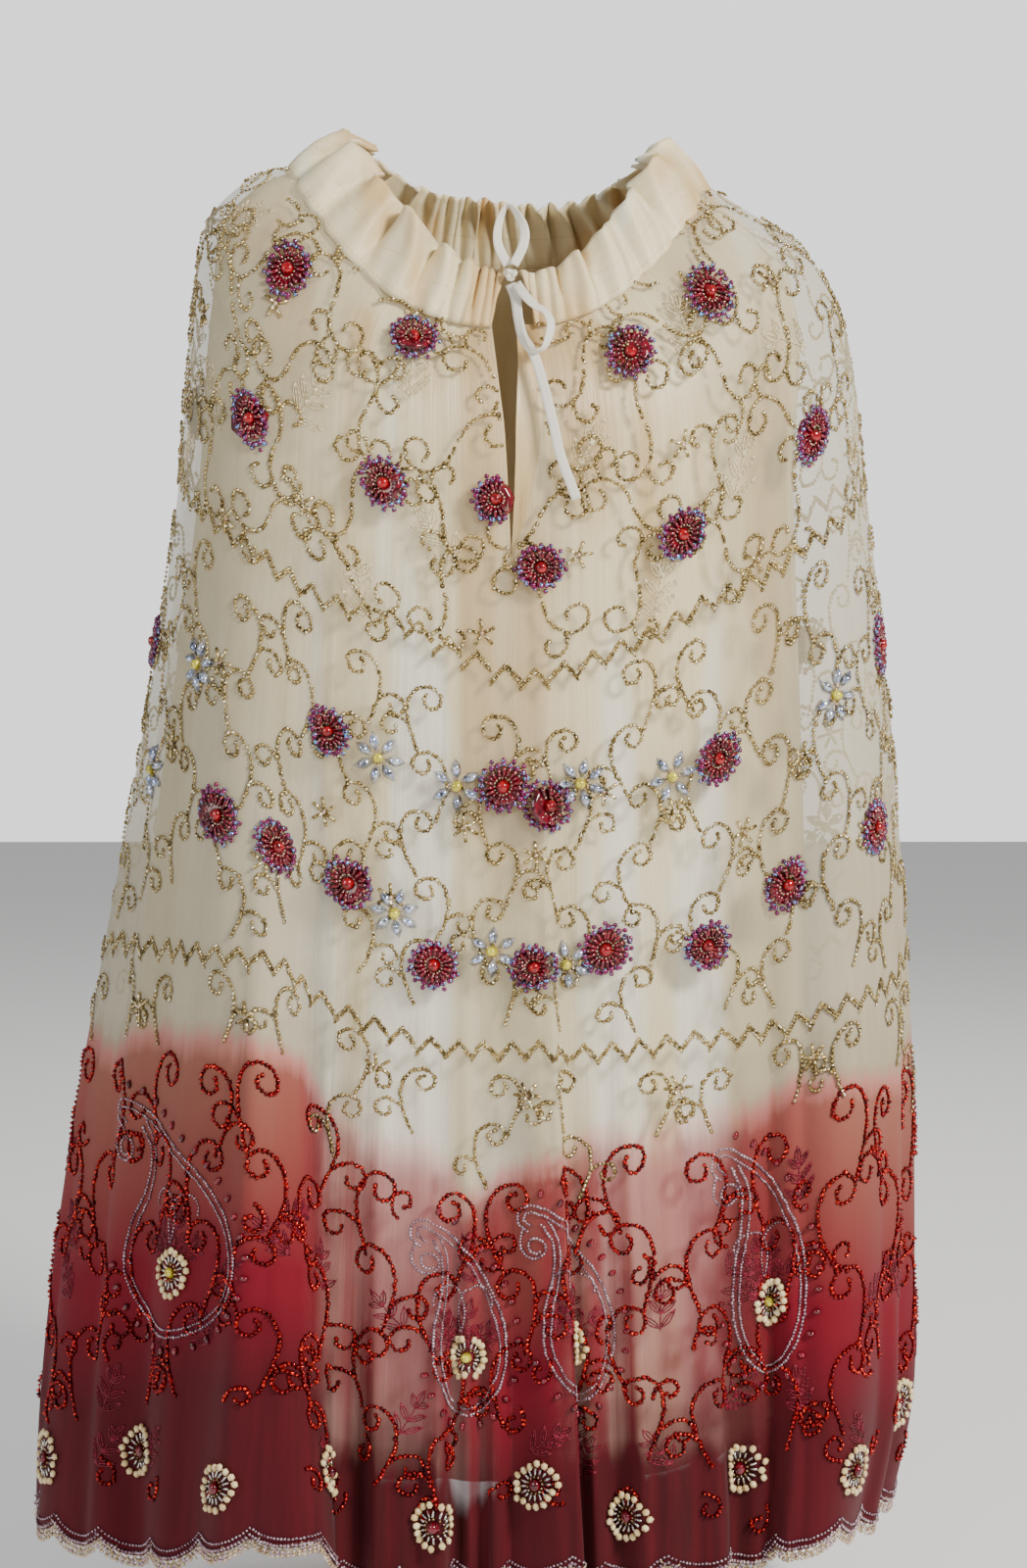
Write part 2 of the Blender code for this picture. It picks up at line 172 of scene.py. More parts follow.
# %% Sections and folds
LINING_SHARE = 0.92
OUTLINE_POWER = 2.3
HEIGHT_POWER = 2.5
SECTION_COLUMNS = "down left left_z right right_z front front_z back back_z".split()
NET_SECTIONS = (
    (0.000, 0.171, 0.040, 0.157, 0.027, 0.094, -0.088, 0.088, -0.030),
    (0.035, 0.203, 0.031, 0.190, 0.006, 0.114, -0.116, 0.106, -0.058),
    (0.070, 0.234, 0.004, 0.228, -0.017, 0.127, -0.149, 0.119, -0.093),
    (0.130, 0.248, -0.060, 0.260, -0.065, 0.137, -0.212, 0.130, -0.160),
    (0.270, 0.263, -0.218, 0.285, -0.205, 0.147, -0.350, 0.142, -0.303),
    (0.440, 0.289, -0.410, 0.308, -0.410, 0.156, -0.520, 0.153, -0.480),
    (0.660, 0.322, -0.665, 0.320, -0.650, 0.166, -0.732, 0.165, -0.705),
    (0.830, 0.343, -0.860, 0.317, -0.850, 0.174, -0.892, 0.173, -0.880),
    (0.930, 0.354, -0.970, 0.313, -0.955, 0.178, -0.981, 0.177, -0.978),
    (1.000, 0.360, -1.045, 0.298, -1.030, 0.180, -1.042, 0.178, -1.040),
)
BAND_SECTIONS = (
    (0.0, 0.116, 0.066, 0.116, 0.054, 0.074, -0.046, 0.068, 0.018),
    (0.5, 0.141, 0.058, 0.136, 0.044, 0.083, -0.067, 0.077, -0.004),
    (1.0, 0.171, 0.0425, 0.157, 0.0295, 0.094, -0.0855, 0.088, -0.0275),
)
INSET_COLUMNS = "down left right front back".split()
LINING_INSETS = (
    (0.00, 0.0030, 0.0030, 0.0030, 0.0030),
    (0.035, 0.0080, 0.0090, 0.0050, 0.0060),
    (0.07, 0.0110, 0.0180, 0.0070, 0.0090),
    (0.27, 0.0180, 0.0600, 0.0090, 0.0180),
    (0.44, 0.0220, 0.0800, 0.0110, 0.0240),
    (0.66, 0.0280, 0.0900, 0.0140, 0.0300),
    (1.00, 0.0340, 0.0950, 0.0180, 0.0340),
)
FOLD_COLUMNS = "top hem start growth height half_width lean lift".split()
NET_FOLDS = (
    (-92, -83, 0.20, 1.2, 0.026, 15, -0.10, 0.000),
    (-66, -51, 0.03, 0.5, 0.062, 18, 0.85, 0.045),
    (-31, -24, 0.30, 1.6, 0.020, 13, 0.10, 0.000),
    (4, 10, 0.16, 1.2, 0.027, 10, 0.45, 0.012),
    (31, 36, 0.45, 1.5, 0.022, 13, 0.00, 0.006),
    (72, 64, 0.04, 0.8, 0.042, 13, -0.70, 0.018),
    (90, 87, 0.30, 1.4, 0.020, 12, 0.00, 0.000),
    (103, 108, 0.12, 1.2, 0.030, 11, 0.20, 0.010),
    (127, 129, 0.20, 1.3, 0.026, 11, -0.20, 0.006),
    (150, 149, 0.08, 1.0, 0.032, 12, 0.30, 0.012),
    (172, 171, 0.30, 1.4, 0.024, 11, 0.00, 0.000),
    (194, 193, 0.12, 1.1, 0.031, 12, -0.30, 0.010),
    (214, 215, 0.26, 1.4, 0.026, 11, 0.20, 0.004),
    (236, 235, 0.10, 1.0, 0.033, 12, -0.20, 0.014),
    (254, 255, 0.25, 1.3, 0.024, 10, 0.00, 0.000),
)
LINING_FOLDS = (
    (-84, -80, 0.10, 1.0, 0.020, 16, 0.00, 0.000),
    (-40, -27, 0.20, 1.2, 0.008, 11, 0.00, 0.000),
    (-12, -8, 0.35, 1.4, 0.009, 9, 0.00, 0.000),
    (10, 14, 0.20, 1.2, 0.008, 10, 0.00, 0.000),
    (36, 34, 0.30, 1.3, 0.010, 12, 0.00, 0.000),
    (66, 62, 0.10, 1.0, 0.026, 12, 0.00, 0.000),
    (104, 106, 0.15, 1.2, 0.020, 14, 0.00, 0.000),
    (138, 140, 0.15, 1.2, 0.018, 15, 0.00, 0.000),
    (176, 174, 0.20, 1.2, 0.018, 15, 0.00, 0.000),
    (212, 210, 0.15, 1.2, 0.018, 15, 0.00, 0.000),
    (246, 244, 0.15, 1.2, 0.022, 14, 0.00, 0.000),
)

# %% [markdown]
# The folds above are the big ones, which the solids have too. Real net and satin also
# hang in small soft creases, each its own length and depth. They are raised on the same
# form: shallow ones run down the satin, and sharper ones flute the net towards its hem.

# %% Creases
NET_CREASES = (
    (-86, -90, 0.35, 1.0, 0.009, 4.0, 0.30, 0.000),
    (-76, -71, 0.10, 0.8, 0.010, 4.5, -0.20, 0.003),
    (-68, -64, 0.45, 1.2, 0.008, 3.5, 0.20, 0.000),
    (-57, -58, 0.18, 0.8, 0.006, 3.0, 0.00, 0.002),
    (-40, -37, 0.55, 1.3, 0.010, 4.0, -0.30, 0.000),
    (-33, -30, 0.25, 1.0, 0.006, 3.0, 0.20, 0.003),
    (-19, -17, 0.50, 1.2, 0.011, 4.0, 0.30, 0.000),
    (-12, -9, 0.12, 0.6, 0.005, 2.6, 0.00, 0.002),
    (-4, -2, 0.62, 1.0, 0.008, 3.4, -0.30, 0.000),
    (8, 14, 0.10, 0.8, 0.007, 2.8, 0.40, 0.004),
    (17, 22, 0.48, 1.1, 0.010, 4.0, -0.20, 0.000),
    (29, 30, 0.16, 0.9, 0.005, 3.0, 0.20, 0.000),
    (41, 44, 0.52, 1.1, 0.011, 4.2, 0.30, 0.003),
    (51, 52, 0.20, 1.0, 0.006, 3.0, 0.00, 0.000),
    (60, 57, 0.08, 0.8, 0.007, 3.2, -0.20, 0.002),
    (79, 76, 0.30, 1.0, 0.010, 4.0, -0.30, 0.000),
    (96, 97, 0.35, 1.1, 0.009, 4.0, 0.20, 0.000),
    (117, 119, 0.15, 0.9, 0.008, 3.6, -0.20, 0.002),
    (138, 140, 0.45, 1.2, 0.010, 4.0, 0.30, 0.000),
    (161, 160, 0.20, 1.0, 0.007, 3.2, 0.00, 0.002),
    (183, 182, 0.50, 1.1, 0.010, 4.2, -0.20, 0.000),
    (204, 205, 0.18, 0.9, 0.007, 3.4, 0.20, 0.002),
    (226, 225, 0.42, 1.1, 0.010, 4.0, -0.30, 0.000),
    (245, 246, 0.22, 1.0, 0.008, 3.6, 0.20, 0.003),
)
LINING_CREASES = (
    (-78, -68, 0.10, 0.9, 0.006, 5.0, 0.20, 0.000),
    (-58, -52, 0.25, 1.1, 0.005, 4.0, -0.20, 0.000),
    (-46, -41, 0.06, 0.8, 0.004, 4.0, 0.20, 0.000),
    (-24, -20, 0.30, 1.0, 0.005, 4.5, 0.10, 0.000),
    (-5, -2, 0.15, 0.9, 0.004, 3.5, 0.00, 0.000),
    (20, 23, 0.10, 0.9, 0.004, 4.0, 0.20, 0.000),
    (29, 28, 0.40, 1.2, 0.005, 4.0, -0.20, 0.000),
    (48, 46, 0.12, 0.8, 0.005, 4.5, 0.20, 0.000),
    (78, 80, 0.20, 1.0, 0.007, 6.0, 0.00, 0.000),
    (122, 124, 0.20, 1.0, 0.006, 6.0, 0.20, 0.000),
    (158, 155, 0.30, 1.0, 0.006, 6.0, -0.20, 0.000),
    (194, 196, 0.20, 1.0, 0.006, 6.0, 0.20, 0.000),
    (228, 226, 0.30, 1.0, 0.006, 6.0, 0.00, 0.000),
)
print("net folds and creases:", len(NET_FOLDS) + len(NET_CREASES))


# %% Functions that work the forms out
def eased(knots, values, at):
    """Values at the knots, joined by smooth curves and read at the given places."""
    slopes = np.gradient(values, knots)
    i = np.clip(np.searchsorted(knots, at) - 1, 0, len(knots) - 2)
    span = knots[i + 1] - knots[i]
    t = (at - knots[i]) / span
    rise = values[i + 1] - values[i]
    bend = (slopes[i] * span - rise) * (1 - t) - (slopes[i + 1] * span - rise) * t
    return values[i] + rise * t + t * (1 - t) * bend


def column(table, columns, name, at):
    rows = np.array(table, float)
    return eased(rows[:, 0], rows[:, columns.index(name)], np.asarray(at, float))


def smooth_step(t):
    t = np.clip(t, 0, 1)
    return t * t * (3 - 2 * t)


def quarter(bearing, left, right, front, back):
    """Which side value and which middle value hold at a bearing."""
    turn = np.radians(bearing)
    side = np.where(np.sin(turn) > 0, right, left)
    middle = np.where(np.cos(turn) < 0, back, front)
    return side, middle


def outline(sections, bearing, down, insets=None):
    """Points of a form with no folds, moved in by the insets if there are any."""
    bearing, down = np.broadcast_arrays(
        np.asarray(bearing, float), np.asarray(down, float)
    )
    places = "left", "right", "front", "back"
    sizes = [column(sections, SECTION_COLUMNS, name, down) for name in places]
    heights = [column(sections, SECTION_COLUMNS, name + "_z", down) for name in places]
    across, deep = quarter(bearing, *sizes)
    turn = np.radians(bearing)
    wide = (np.abs(np.sin(turn)) / across) ** OUTLINE_POWER
    long = (np.abs(np.cos(turn)) / deep) ** OUTLINE_POWER
    reach = (wide + long) ** (-1 / OUTLINE_POWER)
    side = (reach * np.abs(np.sin(turn)) / across) ** HEIGHT_POWER
    side_z, middle_z = quarter(bearing, *heights)
    z = side_z * side + middle_z * (1 - side)
    points = np.stack([reach * np.sin(turn), -reach * np.cos(turn), z], axis=-1)
    if insets is None:
        return points
    amounts = [column(insets, INSET_COLUMNS, name, down) for name in places]
    side_in, middle_in = quarter(bearing, *amounts)
    inset = side_in * side + middle_in * (1 - side)
    square = normals(lambda b, d: outline(sections, b, d), bearing, down)
    return points - square * inset[..., None]


def outward(form, bearing, down):
    """The level direction that points out of a form, and the one that goes round it."""
    step = 0.2
    along = form(bearing + step, down) - form(bearing - step, down)
    along[..., 2] = 0
    along /= np.linalg.norm(along, axis=-1, keepdims=True)
    out = np.stack([along[..., 1], -along[..., 0], np.zeros(along.shape[:-1])], -1)
    return out, along


def normals(form, bearing, down):
    """Unit directions square to a form's surface, pointing out of it."""
    turn, drop = 0.3, 0.004
    bearing, down = np.broadcast_arrays(
        np.asarray(bearing, float), np.asarray(down, float)
    )
    upper, lower = np.clip(down - drop, 0, 1), np.clip(down + drop, 0, 1)
    round_it = form(bearing + turn, down) - form(bearing - turn, down)
    down_it = form(bearing, lower) - form(bearing, upper)
    square = np.cross(down_it, round_it)
    return square / np.linalg.norm(square, axis=-1, keepdims=True)


def folded(base, folds, bearing, down):
    """A form with its ridges raised on it."""
    bearing, down = np.broadcast_arrays(
        np.asarray(bearing, float), np.asarray(down, float)
    )
    out, along = outward(base, bearing, down)
    raised, leant, lifted = (np.zeros(bearing.shape) for _ in range(3))
    for row in folds:
        fold = dict(zip(FOLD_COLUMNS, row))
        grown = smooth_step((down - fold["start"]) / (1 - fold["start"]))
        height = fold["height"] * grown ** fold["growth"]
        centre = fold["top"] + (fold["hem"] - fold["top"]) * np.clip(down, 0, 2) ** 1.5
        away = (bearing - centre + 180) % 360 - 180
        crest = np.cos(np.clip(away / fold["half_width"], -1, 1) * math.pi / 2) ** 2
        raised += height * crest
        leant += height * crest * fold["lean"]
        lifted += fold["lift"] * crest * down**2
    moved = out * raised[..., None] + along * leant[..., None]
    moved[..., 2] += lifted
    return base(bearing, down) + moved


CREASE_DEPTH = 1.5


def deepened(creases):
    height = FOLD_COLUMNS.index("height")
    return tuple((*row[:height], row[height] * CREASE_DEPTH, *row[height + 1 :]) for row in creases)


def net_form(bearing, down):
    folds = NET_FOLDS + deepened(NET_CREASES)
    return folded(lambda b, d: outline(NET_SECTIONS, b, d), folds, bearing, down)


def lining_form(bearing, down):
    def base(b, d):
        return outline(NET_SECTIONS, b, d * LINING_SHARE, LINING_INSETS)

    return folded(base, LINING_FOLDS + deepened(LINING_CREASES), bearing, down)


# %% [markdown]
# ## Reading places off the draped net
#
# Embroidery is worked on flat cloth, so each motif is drafted flat, in metres, about a
# place on the net. To sew it on, its points have to be carried onto the folded cloth
# without stretching. The net's form is therefore worked out once on a close grid, along
# with the length of cloth from the centre front to each point of every level. A step
# across a motif is then a step in length of cloth, and runs in and out of the folds.


# %% A close grid of the net
class DrapedNet:
    """Points, directions and lengths of cloth on the net, read from a close grid."""

    def __init__(self, first, last, turn, drop, lowest):
        self.first, self.turn, self.drop = first, turn, drop
        bearing = np.arange(first, last + turn / 2, turn)
        down = np.arange(0, lowest + drop / 2, drop)
        self.points = net_form(bearing[None, :], down[:, None])
        across = np.gradient(self.points, axis=1)
        below = np.gradient(self.points, axis=0)
        square = np.cross(below, across)
        self.square = square / np.linalg.norm(square, axis=-1, keepdims=True)
        steps = np.linalg.norm(np.diff(self.points, axis=1), axis=-1)
        run = np.concatenate([np.zeros((len(down), 1)), np.cumsum(steps, axis=1)], 1)
        self.run = run[..., None]
        lengths = np.linalg.norm(np.diff(self.points, axis=0), axis=-1)
        self.length = float(lengths.sum(axis=0).mean()) / lowest

    def read(self, grid, bearing, down):
        u = np.clip((bearing - self.first) / self.turn, 0, grid.shape[1] - 1.001)
        v = np.clip(down / self.drop, 0, grid.shape[0] - 1.001)
        i, j = u.astype(int), v.astype(int)
        fu, fv = (u - i)[..., None], (v - j)[..., None]
        upper = grid[j, i] * (1 - fu) + grid[j, i + 1] * fu
        lower = grid[j + 1, i] * (1 - fu) + grid[j + 1, i + 1] * fu
        return upper * (1 - fv) + lower * fv

    def bearing_of(self, start, down, across):
        """The bearing reached from start by going that length of cloth across."""
        target = self.read(self.run, start, down)[..., 0] + across
        low, high = start - 60.0, start + 60.0
        for _ in range(14):
            middle = (low + high) / 2
            short = self.read(self.run, middle, down)[..., 0] < target
            low, high = np.where(short, middle, low), np.where(short, high, middle)
        return (low + high) / 2

    def place(self, bearing, down, across, below):
        """Carry flat offsets about a place onto the net: points, squares, bearings."""
        across, below = np.asarray(across, float), np.asarray(below, float)
        level = np.clip(down + below / self.length, 0.002, 1.02)
        start = np.broadcast_to(np.asarray(bearing, float), level.shape)
        reached = self.bearing_of(start, level, across)
        square = self.read(self.square, reached, level)
        square /= np.linalg.norm(square, axis=-1, keepdims=True)
        return self.read(self.points, reached, level), square, reached, level


net = DrapedNet(first=-160, last=340, turn=0.5, drop=0.005, lowest=1.03)
HEM_ROUND = float(net.read(net.run, np.array(270.0), np.array(1.0))[0]) - float(
    net.read(net.run, np.array(-90.0), np.array(1.0))[0]
)
print("net: length", round(net.length, 3), "m, round the hem", round(HEM_ROUND, 3), "m")

# %% [markdown]
# ## Cutting the panels
#
# Each layer is four panels, seamed at the sides and the centres, with the front seam
# left open at the top as a slit. A panel starts as a flat grid, the size it would be
# cut, and every point of the grid is then carried onto the form, as cloth is pinned to
# a stand. The grid keeps its flat UV map, so a finish can follow the cloth.

# %% Panels, the slit and the scalloped hem
SLIT_FOOT = 0.0028
SLIT_COLUMNS = "down net_left net_right lining_left lining_right".split()
SLIT_EDGES = (
    (0.000, -0.0120, 0.0215, -0.0120, 0.0070),
    (0.040, -0.0080, 0.0270, -0.0080, 0.0080),
    (0.095, -0.0020, 0.0265, -0.0020, 0.0062),
    (0.120, -0.0005, 0.0220, -0.0005, 0.0060),
    (0.150, 0.0010, 0.0150, 0.0010, 0.0050),
    (0.175, 0.0020, 0.0070, 0.0020, 0.0040),
    (0.200, SLIT_FOOT, SLIT_FOOT, SLIT_FOOT, SLIT_FOOT),
    (1.000, SLIT_FOOT, SLIT_FOOT, SLIT_FOOT, SLIT_FOOT),
)
PANELS = (
    ("front_left", -90.0, 0.0, "left"),
    ("front_right", 0.0, 90.0, "right"),
    ("back_right", 90.0, 180.0, None),
    ("back_left", 180.0, 270.0, None),
)
SCALLOP_WIDTH = 0.060
SCALLOP_DEPTH = 0.012


def bearing_at(form, metres_right, down):
    depth = -form(np.zeros_like(down), down)[..., 1]
    return np.degrees(np.arctan2(metres_right, depth))


def hem_scallop(bearing):
    """How far below the hem line the net's edge hangs at a bearing, in metres."""
    run = net.read(net.run, np.asarray(bearing, float), np.ones(np.shape(bearing)))
    lobe = np.abs(np.sin(math.pi * run[..., 0] / SCALLOP_WIDTH))
    return SCALLOP_DEPTH * (lobe**0.8 - 0.55)


def panel_places(form, start, end, columns, rows, slit=None, scalloped=False):
    """Bearings and shares of length for a panel's grid, upper edge first."""
    fine = np.linspace(start, end, 721)
    edge = form(fine, np.ones_like(fine))
    run = np.concatenate([[0], np.cumsum(np.linalg.norm(np.diff(edge, axis=0), axis=1))])
    even = np.interp(np.linspace(0, run[-1], columns + 1), run, fine)
    share = (even - start) / (end - start)
    down = np.linspace(0, 1, rows + 1) ** 1.15
    first, last = np.full_like(down, start), np.full_like(down, end)
    if slit:
        table = np.array(SLIT_EDGES)
        edge = np.interp(down, table[:, 0], table[:, SLIT_COLUMNS.index(slit)])
        cut = bearing_at(form, edge, down)
        first, last = (first, cut) if slit.endswith("left") else (cut, last)
    bearing = first[:, None] + (last - first)[:, None] * share[None, :]
    down = np.repeat(down[:, None], columns + 1, axis=1)
    if scalloped:
        down = down * (1 + hem_scallop(bearing) / net.length)
    return bearing, down, float(run[-1])


def flat_grid(name, columns, rows):
    """A flat grid with a UV map, its points in rows from the upper edge down."""
    bpy.ops.object.select_all(action="DESELECT")
    bpy.ops.mesh.primitive_grid_add(
        x_subdivisions=columns, y_subdivisions=rows, size=1, calc_uvs=True
    )
    piece = bpy.context.object
    piece.name = piece.data.name = name
    flat = np.empty(len(piece.data.vertices) * 3)
    piece.data.vertices.foreach_get("co", flat)
    flat = flat.reshape(-1, 3)
    column_of = np.rint((flat[:, 0] + 0.5) * columns).astype(int)
    row_of = np.rint((0.5 - flat[:, 1]) * rows).astype(int)
    return piece, row_of, column_of


def pin(piece, row_of, column_of, points, attributes=()):
    """Carry a flat grid's points to their places on the form."""
    placed = points[row_of, column_of]
    piece.data.vertices.foreach_set("co", placed.ravel())
    for name, values in attributes:
        layer = piece.data.attributes.new(name, "FLOAT", "POINT")
        layer.data.foreach_set("value", values[row_of, column_of].ravel())
    piece.data.update()
    piece.data.shade_smooth()
    return piece


# %% Where the dye starts and where the net is full
# each row is a bearing and the share of the length where the dye begins
DYE_LINE = (
    (-180, 0.65),
    (-120, 0.66),
    (-80, 0.65),
    (-65, 0.61),
    (-50, 0.60),
    (-35, 0.64),
    (-20, 0.64),
    (-10, 0.69),
    (5, 0.66),
    (20, 0.64),
    (60, 0.64),
    (80, 0.68),
    (120, 0.64),
    (150, 0.67),
    (180, 0.65),
)
# each row is a bearing and how full the net hangs there
FULLNESS = (
    (-180, 0.40),
    (-100, 0.75),
    (-86, 0.80),
    (-74, 1.00),
    (-60, 1.00),
    (-50, 0.80),
    (-44, 0.18),
    (-20, 0.12),
    (-6, 0.42),
    (5, 0.50),
    (16, 0.35),
    (30, 0.12),
    (50, 0.18),
    (58, 0.75),
    (70, 1.00),
    (84, 0.95),
    (110, 0.65),
    (180, 0.40),
)


def round_the_skirt(table, bearing):
    """A value that depends on the bearing alone."""
    turned = (np.asarray(bearing, float) + 180) % 360 - 180
    rows = np.array(table, float)
    return np.interp(turned, rows[:, 0], rows[:, 1])


def below_dye(bearing, down):
    return (down - round_the_skirt(DYE_LINE, bearing)) * net.length


def fullness(bearing, down):
    """How much net crowds each place: the masses at the sides, and the fold flanks."""
    gathered = round_the_skirt(FULLNESS, bearing)
    upper = 0.55 + 0.45 * smooth_step((down - 0.15) / 0.55)
    flat = outline(NET_SECTIONS, bearing, down)
    cloth, space = (
        np.linalg.norm(np.gradient(points, axis=1), axis=-1)
        for points in (net_form(bearing, down), flat)
    )
    crowded = np.clip(cloth / np.maximum(space, 1e-6) - 1.0, 0, 1.6)
    return np.clip(gathered * upper + 0.6 * crowded, 0, 1)


dye_levels = [share * net.length for bearing, share in DYE_LINE]
print("dye starts", round(min(dye_levels), 2), "to", round(max(dye_levels), 2), "m down")

# %% [markdown]
# ## Satin
#
# Satin is woven so that long floats of thread lie side by side, and it mirrors light in
# soft streaks. A low roughness alone would look like plastic. The streaks come from
# anisotropy with a little sheen, and the cloth's own unevenness from noise stretched
# down the warp, which shifts both the colour and the bump a little. The colour also holds
# painted shade and painted highlights: golden shade in broad patches and bands of noise,
# pale highlights in the bands, and painted light that makes the satin paler lower down.

# %% Helpers for wiring a finish, and the satin
IVORY = (0.84, 0.72, 0.45)
WARM_SHADE = (0.66, 0.45, 0.20)
COOL_LIGHT = (0.94, 0.91, 0.80)
BLED_PINK = (0.80, 0.42, 0.38)


class Finish:
    """A material whose nodes are added and wired by short calls."""

    def __init__(self, name):
        self.material = bpy.data.materials.new(name)
        self.material.use_nodes = True
        self.tree = self.material.node_tree
        self.shader = self.tree.nodes["Principled BSDF"]
        self.output = self.tree.nodes["Material Output"]

    def add(self, kind, inputs=(), **settings):
        node = self.tree.nodes.new("ShaderNode" + kind)
        for key, value in settings.items():
            setattr(node, key, value)
        for key, value in dict(inputs).items():
            self.feed(node.inputs[key], value)
        return node

    def feed(self, socket, value):
        if isinstance(value, bpy.types.NodeSocket):
            self.tree.links.new(value, socket)
        else:
            socket.default_value = value

    def flat_place(self, scale):
        """The piece's UV map, stretched by a scale."""
        coordinates = self.add("TexCoord").outputs["UV"]
        return self.add("Mapping", {"Vector": coordinates, "Scale": scale}).outputs[0]

    def solid_place(self, scale):
        coordinates = self.add("TexCoord").outputs["Object"]
        return self.add("Mapping", {"Vector": coordinates, "Scale": scale}).outputs[0]

    def noise(self, place, size, detail=2.0):
        inputs = {"Vector": place, "Scale": size, "Detail": detail}
        return self.add("TexNoise", inputs).outputs["Fac"]

    def math(self, operation, a, b=0.0, clamp=False):
        node = self.add("Math", operation=operation, use_clamp=clamp)
        self.feed(node.inputs[0], a)
        self.feed(node.inputs[1], b)
        return node.outputs[0]

    def ramp(self, factor, stops):
        node = self.add("ValToRGB", {"Fac": factor})
        elements = node.color_ramp.elements
        while len(elements) < len(stops):
            elements.new(0.5)
        for element, (place, colour) in zip(elements, stops):
            element.position = place
            element.color = (*colour, 1)
        return node.outputs["Color"]

    def mix(self, factor, a, b):
        node = self.add("Mix", data_type="RGBA")
        self.feed(node.inputs["Factor"], factor)
        self.feed(node.inputs["A"], a if isinstance(a, bpy.types.NodeSocket) else (*a, 1))
        self.feed(node.inputs["B"], b if isinstance(b, bpy.types.NodeSocket) else (*b, 1))
        return node.outputs["Result"]

    def bump(self, height, strength, distance):
        inputs = {"Height": height, "Strength": strength, "Distance": distance}
        return self.add("Bump", inputs).outputs["Normal"]

    def set(self, **values):
        for name, value in values.items():
            self.feed(self.shader.inputs[name.replace("_", " ")], value)


def satin_finish(name, painted_shade_amount):
    finish = Finish(name)
    long_streaks = finish.noise(finish.flat_place((26, 2.2, 1)), 1.0, 3.0)
    patches = finish.noise(finish.solid_place((5, 5, 3)), 1.0, 2.0)
    weave = finish.noise(finish.flat_place((900, 300, 1)), 1.0, 1.0)
    # painted shade: broad patches of noise pull the colour towards a golden shade
    shade = finish.math("MULTIPLY", patches, painted_shade_amount)
    # painted shade and painted highlights: vertical bands of noise paint the light and dark of
    # folds
    bands = finish.noise(finish.solid_place((15, 15, 1.3)), 1.0, 2.0)
    painted_light_share = finish.math("MULTIPLY_ADD", finish.math("SUBTRACT", bands, 0.5), 3.2)
    painted_light_share.node.inputs[2].default_value = 0.5
    # painted light: the satin is painted paler towards the lower part of the skirt
    height = finish.add("SeparateXYZ", {"Vector": finish.solid_place((1, 1, 1))}).outputs["Z"]
    lower = finish.add(
        "MapRange",
        {"Value": height, "From Min": -0.20, "From Max": -0.55, "To Min": -0.10, "To Max": 0.42},
    ).outputs[0]
    painted_light_share = finish.math("ADD", painted_light_share, lower)
    # the ramp runs from a painted golden shade, through the satin's own ivory, to a painted pale
    # highlight
    base = finish.ramp(
        finish.math("SUBTRACT", painted_light_share, finish.math("MULTIPLY", shade, 0.35)),
        ((0.05, WARM_SHADE), (0.38, IVORY), (0.62, IVORY), (0.95, COOL_LIGHT)),
    )
    stain = finish.add("Attribute", attribute_name="stain").outputs["Fac"]
    cloudy = finish.math("MULTIPLY", stain, finish.math("ADD", patches, 0.25), clamp=True)
    streaked = finish.math("MULTIPLY", finish.math("SUBTRACT", long_streaks, 0.4), 0.5, clamp=True)
    finish.set(Base_Color=finish.mix(cloudy, finish.mix(streaked, base, IVORY), BLED_PINK))
    finish.set(Roughness=0.30, Anisotropic=0.55)
    finish.shader.inputs["Sheen Weight"].default_value = 0.08
    finish.shader.inputs["Sheen Roughness"].default_value = 0.4
    height = finish.math("ADD", long_streaks, finish.math("MULTIPLY", weave, 0.08))
    finish.set(Normal=finish.bump(height, 0.5, 0.006))
    return finish.material


satin = satin_finish("ivory_satin", 0.45)
print("satin wired with", len(satin.node_tree.nodes), "nodes")

# %% The satin lining
LINING_GRID = (64, 88)


def lining_panel(place, start, end, edge):
    slit = f"lining_{edge}" if edge else None
    bearing, down, hem = panel_places(lining_form, start, end, *LINING_GRID, slit)
    grid = flat_grid(f"satin_lining_{place}", *LINING_GRID)
    stained = smooth_step((below_dye(bearing, down * LINING_SHARE) + 0.01) / 0.05)
    piece = pin(*grid, lining_form(bearing, down), [("stain", stained)])
    piece.data.materials.append(satin)
    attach(piece, "root")
    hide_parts(f"lining_{place}")
    return piece, hem


for place, start, end, edge in PANELS:
    panel, hem = lining_panel(place, start, end, edge)
    area = sum(polygon.area for polygon in panel.data.polygons)
    print(panel.name, "hem", round(hem, 3), "area", round(area, 3))

# %% [markdown]
# ## Dip-dyed net
#
# The net is a fine mesh of thread with more hole than thread, so what lies under it
# shows through. Modelling each hole would take millions of faces. The finish mixes a
# see-through shader with a cloth one instead. Two measures are stored on the points of
# the cloth for it: how far a point is below the dye line, and how full the net hangs
# there, since gathered net hides more than stretched net does. The dye creeps up the
# threads unevenly, which noise stretched along the threads imitates. Where the net hangs
# full its colour is darkened as painted shade, and below the lining's hem it is painted
# its darkest and nearly opaque: partly deeper dye, partly painted shade of the inside
# seen through it.

# %% The net's finish
IVORY_NET = (0.62, 0.56, 0.40)
BLUSH = (0.62, 0.16, 0.17)
CRIMSON = (0.26, 0.0008, 0.018)
# the deepest dye, painted darker still as shade of the inside below the lining's hem
DEEP_CRIMSON_AND_SHADE = (0.045, 0.0008, 0.003)
# painted shade for where the net hangs full
SHADED_IVORY = (0.36, 0.29, 0.17)
SHADED_RED = (0.10, 0.0005, 0.007)


